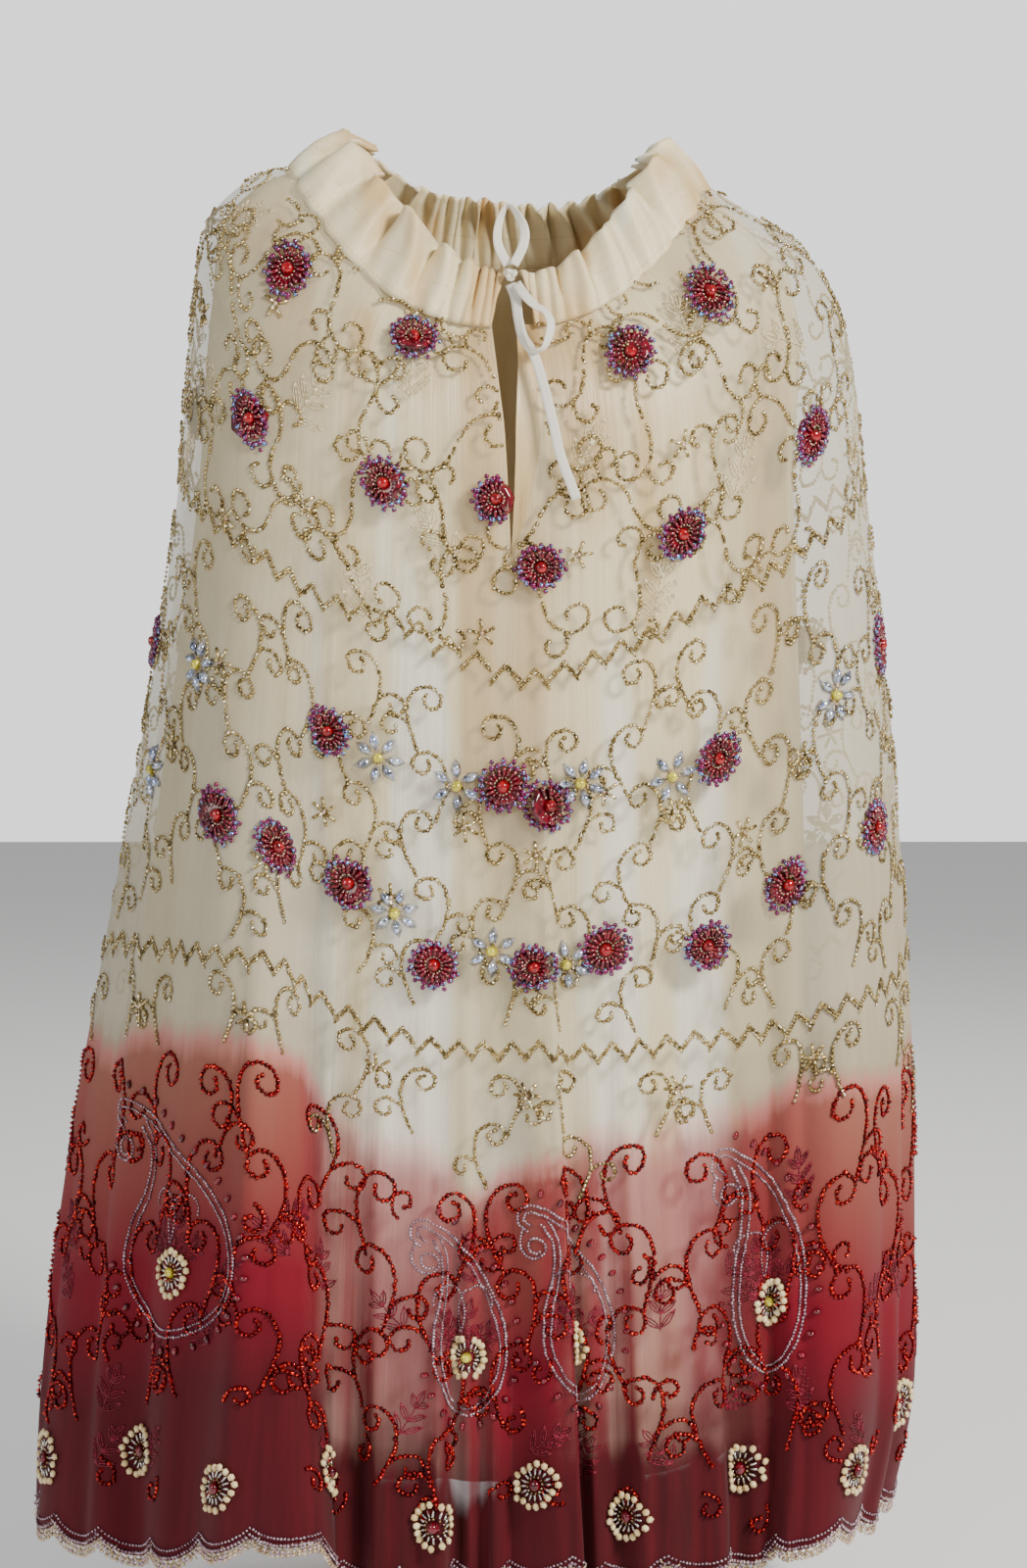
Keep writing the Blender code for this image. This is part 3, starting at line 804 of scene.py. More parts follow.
def net_finish():
    finish = Finish("dip_dyed_net")
    streak = finish.noise(finish.flat_place((60, 9, 1)), 1.0, 3.0)
    cloud = finish.noise(finish.flat_place((9, 5, 1)), 1.0, 2.0)
    below = finish.add("Attribute", attribute_name="dye").outputs["Fac"]
    full = finish.add("Attribute", attribute_name="fullness").outputs["Fac"]
    creep = finish.math("MULTIPLY", finish.math("SUBTRACT", streak, 0.5), 0.022)
    drift = finish.math("MULTIPLY", finish.math("SUBTRACT", cloud, 0.5), 0.035)
    reached = finish.math("ADD", finish.math("ADD", below, creep), drift)
    dyed = finish.math("ADD", finish.math("MULTIPLY", reached, 2.4), 0.10, clamp=True)
    # the darkest stop falls about at the lining's hem: partly deeper dye, partly painted shade
    stops = (
        (0.060, IVORY_NET),
        (0.095, BLUSH),
        (0.130, CRIMSON),
        (0.550, (0.20, 0.0008, 0.012)),
        (0.740, DEEP_CRIMSON_AND_SHADE),
    )
    colour = finish.ramp(dyed, stops)
    thin = finish.math("MULTIPLY", finish.math("SUBTRACT", streak, 0.35), 0.35, clamp=True)
    mottled = finish.mix(thin, colour, (0.36, 0.010, 0.03))
    dyed_share = finish.math("MULTIPLY", dyed, 2.0, clamp=True)
    tinted = finish.mix(dyed_share, colour, mottled)
    # painted shade: the fuller the net hangs, the more its colour is darkened
    painted_shade_share = finish.math("MULTIPLY", finish.math("POWER", full, 1.5), 0.45)
    shaded = finish.mix(dyed_share, SHADED_IVORY, SHADED_RED)
    finish.set(Base_Color=finish.mix(painted_shade_share, tinted, shaded), Roughness=0.78)
    finish.shader.inputs["Specular IOR Level"].default_value = 0.22
    finish.shader.inputs["Sheen Weight"].default_value = 0.06
    finish.shader.inputs["Sheen Roughness"].default_value = 0.5
    mesh = finish.add(
        "TexVoronoi",
        {"Vector": finish.flat_place((520, 980, 1)), "Scale": 1.0, "Randomness": 0.35},
        feature="DISTANCE_TO_EDGE",
    ).outputs["Distance"]
    thread = finish.math("LESS_THAN", mesh, 0.16)
    red = finish.add(
        "MapRange", {"Value": dyed, "From Min": 0.07, "From Max": 0.15}
    ).outputs[0]
    plain = finish.math("ADD", 0.06, finish.math("MULTIPLY", full, 0.66))
    deep = finish.math("MULTIPLY", red, finish.math("MULTIPLY", full, 0.42))
    hidden = finish.math("ADD", plain, finish.math("MULTIPLY", red, 0.13))
    # painted shade: below the lining's hem the net is made nearly opaque, a dark sheet for the
    # shadowed inside behind it
    low = finish.add(
        "MapRange", {"Value": below, "From Min": 0.25, "From Max": 0.29, "To Max": 0.80}
    ).outputs[0]
    cover = finish.math("ADD", finish.math("ADD", hidden, deep), low)
    textured = finish.math("MULTIPLY_ADD", thread, 0.16)
    finish.feed(textured.node.inputs[2], finish.math("SUBTRACT", cover, 0.05))
    uneven = finish.math("MULTIPLY", finish.math("SUBTRACT", streak, 0.5), 0.22)
    share = finish.math("ADD", textured, uneven, clamp=True)
    clear = finish.add("BsdfTransparent").outputs[0]
    both = finish.add("MixShader", {0: share, 1: clear, 2: finish.shader.outputs[0]})
    finish.tree.links.new(both.outputs[0], finish.output.inputs["Surface"])
    finish.set(Normal=finish.bump(thread, 0.25, 0.0006))
    return finish.material


dyed_net = net_finish()
print("net wired with", len(dyed_net.node_tree.nodes), "nodes")

# %% The net overskirt
NET_GRID = (116, 136)
net_panels = {}
for place, start, end, edge in PANELS:
    slit = f"net_{edge}" if edge else None
    bearing, down, hem = panel_places(net_form, start, end, *NET_GRID, slit, scalloped=True)
    measures = ("dye", below_dye(bearing, down)), ("fullness", fullness(bearing, down))
    panel = pin(*flat_grid(f"net_{place}_drape", *NET_GRID), net_form(bearing, down), measures)
    panel.data.materials.append(dyed_net)
    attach(panel, "root")
    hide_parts(f"net_{place}")
    area = sum(polygon.area for polygon in panel.data.polygons)
    net_panels[place] = panel, hem, area
    print(panel.name, "hem", round(hem, 3), "area", round(area, 3))

# %% [markdown]
# ## The gathered casing
#
# The waistband is a strip of satin folded double over the drawstring. Drawing the tape
# tight crowds the strip into gathers, deeper along its free upper edge than along the
# seam, and no two alike. Each gather here is a rounded crest between two tight valleys.
# Solidify then gives the strip the thickness of a doubled satin.

# %% The waistband
RUFFLES = 30
BAND_END_TOP = (-0.0010, 0.0095)
BAND_END_SEAM = (-0.0125, 0.0213)
BAND_GRID = (430, 16)


def band_form(bearing, down):
    base = outline(BAND_SECTIONS, bearing, down)
    out, along = outward(lambda b, d: outline(BAND_SECTIONS, b, d), bearing, down)
    turn = np.radians(bearing)
    phase = RUFFLES * turn + 1.1 * np.sin(3 * turn) + 0.8 * np.sin(5 * turn + 1)
    uneven = 0.62 + 0.3 * np.sin(2 * turn + 4.0) + 0.22 * np.sin(9 * turn + 2)
    crest = 2 * np.abs(np.cos(phase / 2)) ** 1.3 - 1
    level_end = 1 - 0.85 * np.exp(-(((bearing - 351) / 7) ** 4))
    uneven = uneven * level_end
    depth = 0.0125 + (0.0022 - 0.0125) * down**0.8
    second = 0.0024 * np.sin(2.3 * phase + 3 * down) * (1 - 0.6 * down)
    away = crest * uneven * depth + second
    slant = 0.0055 * np.sin(phase + 1.2) * uneven * (1 - down) * down * 4
    moved = base + out * away[..., None] + along * slant[..., None]
    rise = 0.0065 * crest * uneven - 0.004 * np.sin(3 * turn + 0.6)
    moved[..., 2] += rise * (1 - down) ** 2
    puff = np.exp(-(((bearing - 311) / 8) ** 2)) * (1 - down)
    moved[..., 2] += 0.007 * puff - 0.0065 * down**6
    belly = 0.0025 * np.sin(math.pi * down) + 0.006 * puff + 0.0022 * down**4
    return moved + out * belly[..., None]


def band_edge(side, down):
    edge = BAND_END_TOP[side] + (BAND_END_SEAM[side] - BAND_END_TOP[side]) * down
    return bearing_at(lambda b, d: outline(BAND_SECTIONS, b, d), edge, down)


down = np.linspace(0, 1, BAND_GRID[1] + 1)
share = np.linspace(0, 1, BAND_GRID[0] + 1)
first, last = band_edge(1, down), band_edge(0, down) + 360
bearing = first[:, None] + (last - first)[:, None] * share[None, :]
level = np.repeat(down[:, None], BAND_GRID[0] + 1, axis=1)
grid = flat_grid("gathered_waistband", *BAND_GRID)
band = pin(*grid, band_form(bearing, level))
solid = band.modifiers.new("doubled", "SOLIDIFY")
solid.thickness = 0.0022
solid.offset = 0
bpy.ops.object.modifier_apply(modifier=solid.name)

# %% [markdown]
# The casing is sewn with two rows of machine stitches, one along the seam and one above
# the tape. They only need colour: each is a short darker dash at a fixed height of the
# strip's UV map.

# %% The casing's satin
casing = satin_finish("casing_satin", 0.30)


def stitch_rows(material, heights, per_strip):
    """Darken rows of stitches at the given heights of the UV map."""
    tree = material.node_tree
    finish = Finish.__new__(Finish)
    finish.material, finish.tree = material, tree
    finish.shader = tree.nodes["Principled BSDF"]
    place = finish.add("TexCoord").outputs["UV"]
    parts = finish.add("SeparateXYZ", {"Vector": place}).outputs
    dash = finish.math("FRACT", finish.math("MULTIPLY", parts["X"], per_strip))
    dashed = finish.math("LESS_THAN", dash, 0.62)
    total = 0.0
    for height in heights:
        away = finish.math("ABSOLUTE", finish.math("SUBTRACT", parts["Y"], height))
        row = finish.math("LESS_THAN", away, 0.011)
        total = finish.math("ADD", finish.math("MULTIPLY", row, dashed), total)
    colour = finish.shader.inputs["Base Color"]
    was = colour.links[0].from_socket
    finish.feed(colour, finish.mix(finish.math("MULTIPLY", total, 0.5), was, WARM_SHADE))


stitch_rows(casing, (0.07, 0.42), 300)
band.data.materials.append(casing)
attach(band, "root")
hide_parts("waistband")
print("stitched casing:", len(casing.node_tree.nodes), "nodes")

# %% [markdown]
# ## The drawstring's bow
#
# The tape is a flat woven cotton strip. At the slit its two ends are tied in a slip bow:
# a small loop stands up before the band, a larger one hangs, and one free end hangs
# below the knot. A flat tape turns on its edge as it bends, so each route has a twist
# as well as a place at every step.

# %% Routes of the tape
TAPE_WIDTH = 0.0075
TAPE_THICKNESS = 0.0010
ROUTE_COLUMNS = "right height forward twist".split()
TAPE_FACE = -0.074
RAISED_LOOP = (
    (0.0005, -0.0440, 0.0085, 0),
    (-0.0070, -0.0276, 0.0075, 20),
    (-0.0062, -0.0114, 0.0050, 40),
    (0.0005, 0.0020, 0.0030, 70),
    (0.0090, -0.0066, 0.0040, 40),
    (0.0134, -0.0183, 0.0065, 10),
    (0.0118, -0.0300, 0.0090, 0),
    (0.0050, -0.0440, 0.0115, 0),
)
HANGING_LOOP = (
    (0.0030, -0.0585, 0.0125, 0),
    (0.0068, -0.0690, 0.0215, 10),
    (0.0084, -0.0856, 0.0320, 20),
    (0.0107, -0.0991, 0.0405, 35),
    (0.0165, -0.1100, 0.0490, 60),
    (0.0255, -0.1110, 0.0510, 70),
    (0.0310, -0.1020, 0.0470, 40),
    (0.0330, -0.0900, 0.0410, 30),
    (0.0290, -0.0810, 0.0355, 45),
    (0.0215, -0.0765, 0.0325, 35),
    (0.0140, -0.0690, 0.0280, 15),
    (0.0070, -0.0585, 0.0195, 0),
)
FREE_END = (
    (0.0020, -0.0585, 0.0095, 0),
    (0.0060, -0.0690, 0.0170, 0),
    (0.0084, -0.0856, 0.0275, 0),
    (0.0120, -0.1000, 0.0365, 0),
    (0.0200, -0.1140, 0.0465, 0),
    (0.0270, -0.1360, 0.0545, 0),
    (0.0340, -0.1640, 0.0615, 0),
    (0.0400, -0.1900, 0.0660, 0),
    (0.0521, -0.2234, 0.0710, 0),
)


def tape_route(rows, steps):
    """Points along a route, and the direction across the tape at each of them."""
    table = np.array(rows, float)
    knots = np.arange(len(table), dtype=float)
    at = np.linspace(0, len(table) - 1, steps)
    right, height, forward, twist = (
        eased(knots, table[:, i], at) for i in range(len(ROUTE_COLUMNS))
    )
    points = np.stack([right, TAPE_FACE - forward, height], axis=-1)
    along = np.gradient(points, axis=0)
    along /= np.linalg.norm(along, axis=-1, keepdims=True)
    across = np.cross(along, (0, -1, 0))
    across /= np.linalg.norm(across, axis=-1, keepdims=True)
    flat = np.cross(along, across)
    turn = np.radians(twist)[:, None]
    return points, across * np.cos(turn) + flat * np.sin(turn), along


def new_piece(name, points, faces, material):
    mesh = bpy.data.meshes.new(name)
    mesh.from_pydata([tuple(p) for p in points], [], [tuple(f) for f in faces])
    mesh.materials.append(material)
    mesh.update()
    piece = bpy.data.objects.new(name, mesh)
    bpy.context.scene.collection.objects.link(piece)
    return piece


def swept(name, centre, across, along, ring, material):
    """A closed strip with the given cross-section swept along a route."""
    flat = np.cross(along, across)
    ring = np.array(ring)
    count = len(ring)
    points = (
        centre[:, None]
        + across[:, None] * ring[None, :, :1]
        + flat[:, None] * ring[None, :, 1:]
    )
    faces = []
    for step in range(len(centre) - 1):
        for i in range(count):
            j = (i + 1) % count
            a, b = step * count, (step + 1) * count
            faces.append((a + i, a + j, b + j, b + i))
    faces.append(tuple(reversed(range(count))))
    last_ring = (len(centre) - 1) * count
    faces.append(tuple(last_ring + i for i in range(count)))
    piece = new_piece(name, points.reshape(-1, 3), faces, material)
    bpy.ops.object.select_all(action="DESELECT")
    bpy.context.view_layer.objects.active = piece
    piece.select_set(True)
    bpy.ops.object.mode_set(mode="EDIT")
    bpy.ops.mesh.select_all(action="SELECT")
    bpy.ops.mesh.normals_make_consistent(inside=False)
    bpy.ops.object.mode_set(mode="OBJECT")
    piece.data.shade_smooth()
    return piece


half_width, half_thick = TAPE_WIDTH / 2, TAPE_THICKNESS / 2
TAPE_RING = [
    (-half_width, 0.0),
    (-half_width * 0.93, half_thick),
    (-half_width * 0.4, half_thick * 0.85),
    (half_width * 0.4, half_thick * 0.85),
    (half_width * 0.93, half_thick),
    (half_width, 0.0),
    (half_width * 0.93, -half_thick),
    (half_width * 0.4, -half_thick * 0.85),
    (-half_width * 0.4, -half_thick * 0.85),
    (-half_width * 0.93, -half_thick),
]


def tape_finish():
    finish = Finish("cotton_twill_tape")
    rib = finish.add(
        "TexWave",
        {"Vector": finish.solid_place((1, 1, 1)), "Scale": 420.0, "Distortion": 1.2},
        bands_direction="DIAGONAL",
    ).outputs["Fac"]
    soil = finish.noise(finish.solid_place((1, 1, 1)), 60.0, 3.0)
    colour = finish.mix(finish.math("MULTIPLY", soil, 0.5), (0.84, 0.80, 0.70), (0.70, 0.64, 0.52))
    finish.set(Base_Color=colour, Roughness=0.85, Normal=finish.bump(rib, 0.5, 0.0004))
    finish.shader.inputs["Sheen Weight"].default_value = 0.3
    return finish.material


cotton = tape_finish()


def tape_piece(name, rows, node):
    points, across, along = tape_route(rows, 60)
    piece = swept(name, points, across, along, TAPE_RING, cotton)
    length = float(np.linalg.norm(np.diff(points, axis=0), axis=1).sum())
    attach(piece, "root")
    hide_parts(node)
    path = points[::2].tolist() + [points[-1].tolist()]
    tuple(path[0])
    print(name, "length", round(length, 3))
    return piece


def bow_knot():
    """A flattened overhand knot of the same tape."""
    turn = np.linspace(0, 2 * math.pi, 73)
    shape = np.stack(
        [
            np.sin(turn) + 2 * np.sin(2 * turn),
            -np.sin(3 * turn),
            np.cos(turn) - 2 * np.cos(2 * turn),
        ],
        axis=-1,
    )
    centre = shape * (0.0013, 0.0026, 0.0012) + (0.0025, TAPE_FACE - 0.0108, -0.0510)
    along = np.gradient(centre, axis=0)
    along /= np.linalg.norm(along, axis=-1, keepdims=True)
    across = np.cross(along, (0, -1, 0))
    across /= np.linalg.norm(across, axis=-1, keepdims=True)
    half_wide, half_high = 0.0019, 0.0011
    angles = np.linspace(0, 2 * math.pi, 8, endpoint=False)
    ring = [(half_wide * math.cos(a), half_high * math.sin(a)) for a in angles]
    piece = swept("bow_knot", centre, across, along, ring, cotton)
    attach(piece, "root")
    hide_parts("drawstring_knot")
    return piece


bow_knot()
tape_piece("tape_raised_loop", RAISED_LOOP, "drawstring_raised_loop")
tape_piece("tape_hanging_loop", HANGING_LOOP, "drawstring_hanging_loop")
tape_piece("tape_free_end", FREE_END, "drawstring_tail")

# %% [markdown]
# ## Beads, bugles, stones and stitches
#
# Thousands of small things are sewn on the net, but there are few kinds of them. Each
# kind is modelled once, with a few dozen faces, one unit long, lying along X with its
# flat side down. Copies are then sized, turned and set on the cloth. So that each one
# glints differently, as hand-sewn beads do, every copy is also tipped a little.

# %% Model each kind once
def as_unit():
    """Take the active object's triangles, sized to one unit with its base at zero."""
    piece = bpy.context.object
    piece.data.calc_loop_triangles()
    points = np.array([v.co[:] for v in piece.data.vertices])
    low, high = points.min(axis=0), points.max(axis=0)
    points = (points - (low + high) / 2) / (high - low)
    points[:, 2] += 0.5
    triangles = np.array([t.vertices[:] for t in piece.data.loop_triangles])
    bpy.data.objects.remove(piece)
    return points, triangles


def model_bead():
    bpy.ops.mesh.primitive_ico_sphere_add(subdivisions=1, radius=0.5)
    return as_unit()


def model_seed():
    """A tiny bead that is cut, not round, and so has few faces."""
    bpy.ops.mesh.primitive_cone_add(vertices=6, radius1=0.5, radius2=0, depth=0.5)
    piece = bpy.context.object
    bpy.ops.object.mode_set(mode="EDIT")
    bpy.ops.mesh.select_all(action="DESELECT")
    shape = bmesh.from_edit_mesh(piece.data)
    for face in shape.faces:
        face.select = face.normal.z < -0.9
    bmesh.update_edit_mesh(piece.data)
    bpy.ops.mesh.poke(offset=0.5)
    bpy.ops.object.mode_set(mode="OBJECT")
    return as_unit()


def model_rod(sides):
    """A short rod along X: three sides for a float of thread, more for a glass bugle."""
    bpy.ops.mesh.primitive_cylinder_add(vertices=sides, radius=0.5, depth=1)
    bpy.ops.object.mode_set(mode="EDIT")
    bpy.ops.transform.rotate(
        value=math.pi / 2, orient_axis="Y", center_override=(0, 0, 0)
    )
    bpy.ops.object.mode_set(mode="OBJECT")
    return as_unit()


def model_stone():
    """A round cut stone: a slanted rim below a flat table with a raised middle."""
    bpy.ops.mesh.primitive_cone_add(vertices=9, radius1=0.5, radius2=0.36, depth=0.5)
    piece = bpy.context.object
    bpy.ops.object.mode_set(mode="EDIT")
    bpy.ops.mesh.select_all(action="DESELECT")
    shape = bmesh.from_edit_mesh(piece.data)
    for face in shape.faces:
        face.select = face.normal.z > 0.9
    bmesh.update_edit_mesh(piece.data)
    bpy.ops.mesh.inset(thickness=0.14)
    bpy.ops.transform.translate(value=(0, 0, 0.12))
    bpy.ops.object.mode_set(mode="OBJECT")
    return as_unit()


def model_petal():
    """A pointed oval cut stone."""
    bpy.ops.mesh.primitive_cone_add(vertices=8, radius1=0.5, radius2=0.2, depth=0.5)
    piece = bpy.context.object
    bpy.ops.object.mode_set(mode="EDIT")
    shape = bmesh.from_edit_mesh(piece.data)
    for corner in shape.verts:
        if abs(corner.co.y) > 0.05:
            corner.co.x *= 0.68
    bmesh.update_edit_mesh(piece.data)
    bpy.ops.object.mode_set(mode="OBJECT")
    return as_unit()


def model_sequin():
    """A faceted cup, sewn down through its middle."""
    bpy.ops.mesh.primitive_cone_add(vertices=6, radius1=0.5, radius2=0, depth=0.2)
    return as_unit()


bpy.ops.object.select_all(action="DESELECT")
UNITS = {
    "bead": model_bead(),
    "seed": model_seed(),
    "stitch": model_rod(3),
    "bugle": model_rod(6),
    "stone": model_stone(),
    "petal": model_petal(),
    "sequin": model_sequin(),
}
for kind, (points, triangles) in UNITS.items():
    print(kind, len(triangles), "triangles")

# %% [markdown]
# ## Finishes of the small things
#
# Glass, foil and metal thread all mirror light sharply, but their colours differ from
# bead to bead, because the dye and the silver lining vary. Noise about the size of a
# bead is read at each place, so that neighbours take different shades of one colour.
# On some kinds a few scattered beads also take a brighter glint colour: a painted glint.

# %% Bead, stone and thread finishes


def bead_finish(name, dark, light, metallic, roughness, painted_glint=None, coat=0.0):
    finish = Finish(name)
    place = finish.solid_place((1, 1, 1))
    each = finish.noise(place, 240.0, 1.0)
    lot = finish.noise(place, 35.0, 2.0)
    spread = finish.math("MULTIPLY_ADD", finish.math("SUBTRACT", each, 0.5), 2.4)
    spread.node.inputs[2].default_value = 0.5
    blend = finish.math("ADD", spread, finish.math("SUBTRACT", lot, 0.5), clamp=True)
    colour = finish.mix(blend, dark, light)
    # painted glint: scattered beads take a bright flash colour that stands in for a sparkle
    if painted_glint:
        glinting = finish.math("GREATER_THAN", finish.noise(place, 420.0, 1.0), 0.60)
        colour = finish.mix(glinting, colour, painted_glint)
    rough = finish.math("MULTIPLY_ADD", each, 0.2)
    rough.node.inputs[2].default_value = roughness - 0.1
    finish.set(Base_Color=colour, Metallic=metallic, Roughness=rough)
    finish.shader.inputs["Coat Weight"].default_value = coat
    finish.shader.inputs["Coat Roughness"].default_value = 0.08
    return finish.material


# where a colour follows the roughness, it is the painted glint of scattered beads
FINISHES = {
    "gold": bead_finish(
        "gold_beads", (0.13, 0.085, 0.025), (0.62, 0.47, 0.20), 0.8, 0.26, (1.0, 0.92, 0.66)
    ),
    "pale": bead_finish("pale_seed_beads", (0.42, 0.24, 0.16), (0.82, 0.62, 0.44), 0.3, 0.2),
    "garnet": bead_finish(
        "garnet_glass", (0.05, 0.0006, 0.004), (0.24, 0.002, 0.016), 0.1, 0.14, coat=0.6
    ),
    "ruby": bead_finish(
        "ruby_stones", (0.10, 0.0005, 0.003), (0.50, 0.002, 0.008), 0.2, 0.12, coat=0.6
    ),
    "rainbow": bead_finish(
        "purple_rainbow_beads",
        (0.06, 0.002, 0.035),
        (0.26, 0.010, 0.10),
        0.45,
        0.2,
        (0.16, 0.42, 0.75),
        coat=0.5,
    ),
    "crystal": bead_finish(
        "clear_crystal", (0.06, 0.07, 0.10), (0.86, 0.90, 1.0), 0.7, 0.10, (0.35, 0.48, 0.95), 1.0
    ),
    "lemon": bead_finish(
        "lemon_stones", (0.38, 0.30, 0.01), (0.80, 0.72, 0.06), 0.2, 0.12, coat=1.0
    ),
    "pearl": bead_finish(
        "cream_pearls", (0.66, 0.44, 0.18), (0.92, 0.78, 0.45), 0.0, 0.25, coat=0.6
    ),
    "silver": bead_finish("silver_bugles", (0.40, 0.36, 0.33), (0.85, 0.82, 0.76), 0.85, 0.22),
    "lavender": bead_finish(
        "lavender_seed_beads", (0.20, 0.09, 0.13), (0.66, 0.50, 0.56), 0.5, 0.22
    ),
    "scarlet": bead_finish(
        "scarlet_sequins", (0.05, 0.0003, 0.003), (0.34, 0.0015, 0.006), 0.6, 0.2, (1.0, 0.06, 0.03)
    ),
    "gold_thread": bead_finish(
        "pale_gold_thread", (0.62, 0.50, 0.28), (0.86, 0.76, 0.52), 0.25, 0.45
    ),
    "maroon_thread": bead_finish(
        "maroon_thread", (0.11, 0.001, 0.008), (0.30, 0.01, 0.04), 0.1, 0.45
    ),
    "zari": bead_finish(
        "antique_zari", (0.42, 0.28, 0.16), (0.80, 0.66, 0.42), 0.6, 0.35, (0.62, 0.40, 0.62)
    ),
}
print("finishes:", len(FINISHES))

# %% [markdown]
# ## Drafting on flat cloth
#
# Each motif is drafted as an embroiderer's pricked pattern: steps in metres to the right
# of and below a place on the net. A curl is a line that bends ever tighter as it goes.
# All copies of one kind and colour are gathered in one list, and the whole list is
# carried onto the cloth at once.

# %% A list of everything to sew on
SEWN_COLUMNS = "bearing down right below heading long wide high lift".split()
sewn = {}
chance = np.random.default_rng(11)


def sew(kind, finish, bearing, down, right, below, heading, long, wide, high, lift=0.0):
    """Note copies to sew at flat steps from a place, lying along a heading."""
    values = np.broadcast_arrays(
        *(np.atleast_1d(v).astype(float) for v in (bearing, down, right, below)),
        *(np.atleast_1d(v).astype(float) for v in (heading, long, wide, high, lift)),
    )
    sewn.setdefault((kind, finish), []).append(np.stack(values, axis=-1))


def bend(right, below, heading, length, first, last, pitch, late=1.0):
    """A line whose curvature goes from first to last; late is over 1 to bend late."""
    steps = max(int(length / pitch), 2)
    curvature = first + (last - first) * np.linspace(0, 1, steps) ** late
    turned = heading + np.cumsum(curvature) * pitch
    across = right + np.cumsum(np.cos(turned)) * pitch
    along = below + np.cumsum(np.sin(turned)) * pitch
    return across, along, turned


def turned_by(right, below, heading, turn):
    """Turn flat steps about their own place."""
    c, s = math.cos(turn), math.sin(turn)
    return right * c - below * s, right * s + below * c, heading + turn


def beads_along(finish, bearing, down, line, size, kind="seed"):
    right, below, heading = line
    count = len(right)
    grow = chance.uniform(0.82, 1.15, count)
    sideways = chance.normal(0, size * 0.08, count)
    sew(
        kind,
        finish,
        bearing,
        down,
        right - np.sin(heading) * sideways,
        below + np.cos(heading) * sideways,
        heading + chance.uniform(-0.3, 0.3, count),
        size * grow,
        size * grow,
        size * 0.72 * grow,
    )


FLAT_DOWN = math.pi / 2  # a heading straight down the cloth
GOLD_PITCH = 0.0035
GOLD_SIZE = 0.0037


def curl(finish, bearing, down, right, below, heading, length, side, pitch, size, kind="seed"):
    """A curl with its end rolled in; side is 1 or -1."""
    line = bend(right, below, heading, length, side * 22, side * 125, pitch)
    beads_along(finish, bearing, down, line, size, kind)


def vine(finish, bearing, top, bottom, side, pitch, size, kind="seed", grown=1.0):
    """Curls one below another, each rising, arching over and rolling in, by turns."""
    step = 0.048 * grown
    length = (bottom - top) * net.length
    for k in range(int(length / step)):
        hand = side if k % 2 else -side
        foot = -hand * 0.006 * grown, step * (k + 1.15) + chance.uniform(-0.004, 0.004)
        rise = -FLAT_DOWN - hand * chance.uniform(0.30, 0.50)
        reach = chance.uniform(0.100, 0.112) * grown
        roll = chance.uniform(185, 205) / grown
        line = bend(*foot, rise, reach, 0, hand * roll, pitch, 1.8)
        beads_along(finish, bearing, top, line, size, kind)
        start = line[0][6], line[1][6]
        bent = -hand * 30 / grown, -hand * 210 / grown
        line = bend(*start, rise - hand * 0.3, 0.046 * grown, *bent, pitch)
        beads_along(finish, bearing, top, line, size, kind)


def starflower(finish, bearing, down, right=0.0, below=0.0, rays=6, reach=0.0112):
    turn = chance.uniform(0, 2)
    heading = turn + np.arange(rays) * 2 * math.pi / rays
    middle = reach * 0.58
    sew(
        "bugle",
        finish,
        bearing,
        down,
        right + middle * np.cos(heading),
        below + middle * np.sin(heading),
        heading,
        reach * 0.84,
        0.0027,
        0.0024,
    )
    sew("bead", "pale", bearing, down, right, below, 0.0, 0.0034, 0.0034, 0.0026)


def leaf(finish, bearing, down, right, below, heading, long, wide):
    """A pointed leaf in outline and midrib, stitch by stitch."""
    t = np.linspace(0, 1, 6)
    for side in (-1, 0, 1):
        out = side * wide * np.sin(math.pi * t) ** 0.9
        x, y, _ = turned_by(t * long, out, 0.0, heading)
        middle_x, middle_y = (x[1:] + x[:-1]) / 2, (y[1:] + y[:-1]) / 2
        towards = np.arctan2(np.diff(y), np.diff(x))
        length = np.hypot(np.diff(x), np.diff(y)) * 1.25
        place = right + middle_x, below + middle_y
        sew("stitch", finish, bearing, down, *place, towards, length, 0.0009, 0.0006)


def leaf_spray(finish, bearing, down, right, below, heading, size):
    """A stem with pairs of pointed leaves and one at its tip."""
    for k in range(3):
        x = right + math.cos(heading) * size * 0.3 * k
        y = below + math.sin(heading) * size * 0.3 * k
        for side in (-1, 1):
            lean = heading + side * chance.uniform(0.6, 0.95)
            reach = size * (0.46 - 0.07 * k)
            leaf(finish, bearing, down, x, y, lean, reach, size * 0.06)
    leaf(finish, bearing, down, x, y, heading, size * 0.42, size * 0.07)
    t = np.linspace(0, 1, 9)
    x, y = right + math.cos(heading) * size * 0.62 * t, below + math.sin(heading) * size * 0.62 * t
    sew("stitch", finish, bearing, down, x, y, heading, size * 0.085, 0.0010, 0.0007)


def around(down, spacing):
    """Bearings evenly spaced along the cloth at one level."""
    fine = np.linspace(-90.0, 270.0, 1441)
    run = net.read(net.run, fine, np.full(fine.shape, float(down)))[..., 0]
    count = max(int(round((run[-1] - run[0]) / spacing)), 1)
    return np.interp(run[0] + (np.arange(count) + 0.5) * (run[-1] - run[0]) / count, run, fine)


print("a vine's bead takes", UNITS["seed"][1].shape[0], "triangles")

# %% [markdown]
# ## The zigzags and the gold vines
#
# Two zigzag lines of gold beads cross the net, and divide it into bands. Between them
# run vines of gold beads, each with curls to both sides. Above the first zigzag the
# scrolls are bigger and looser, with sprays of leaves in pale gold thread among them.

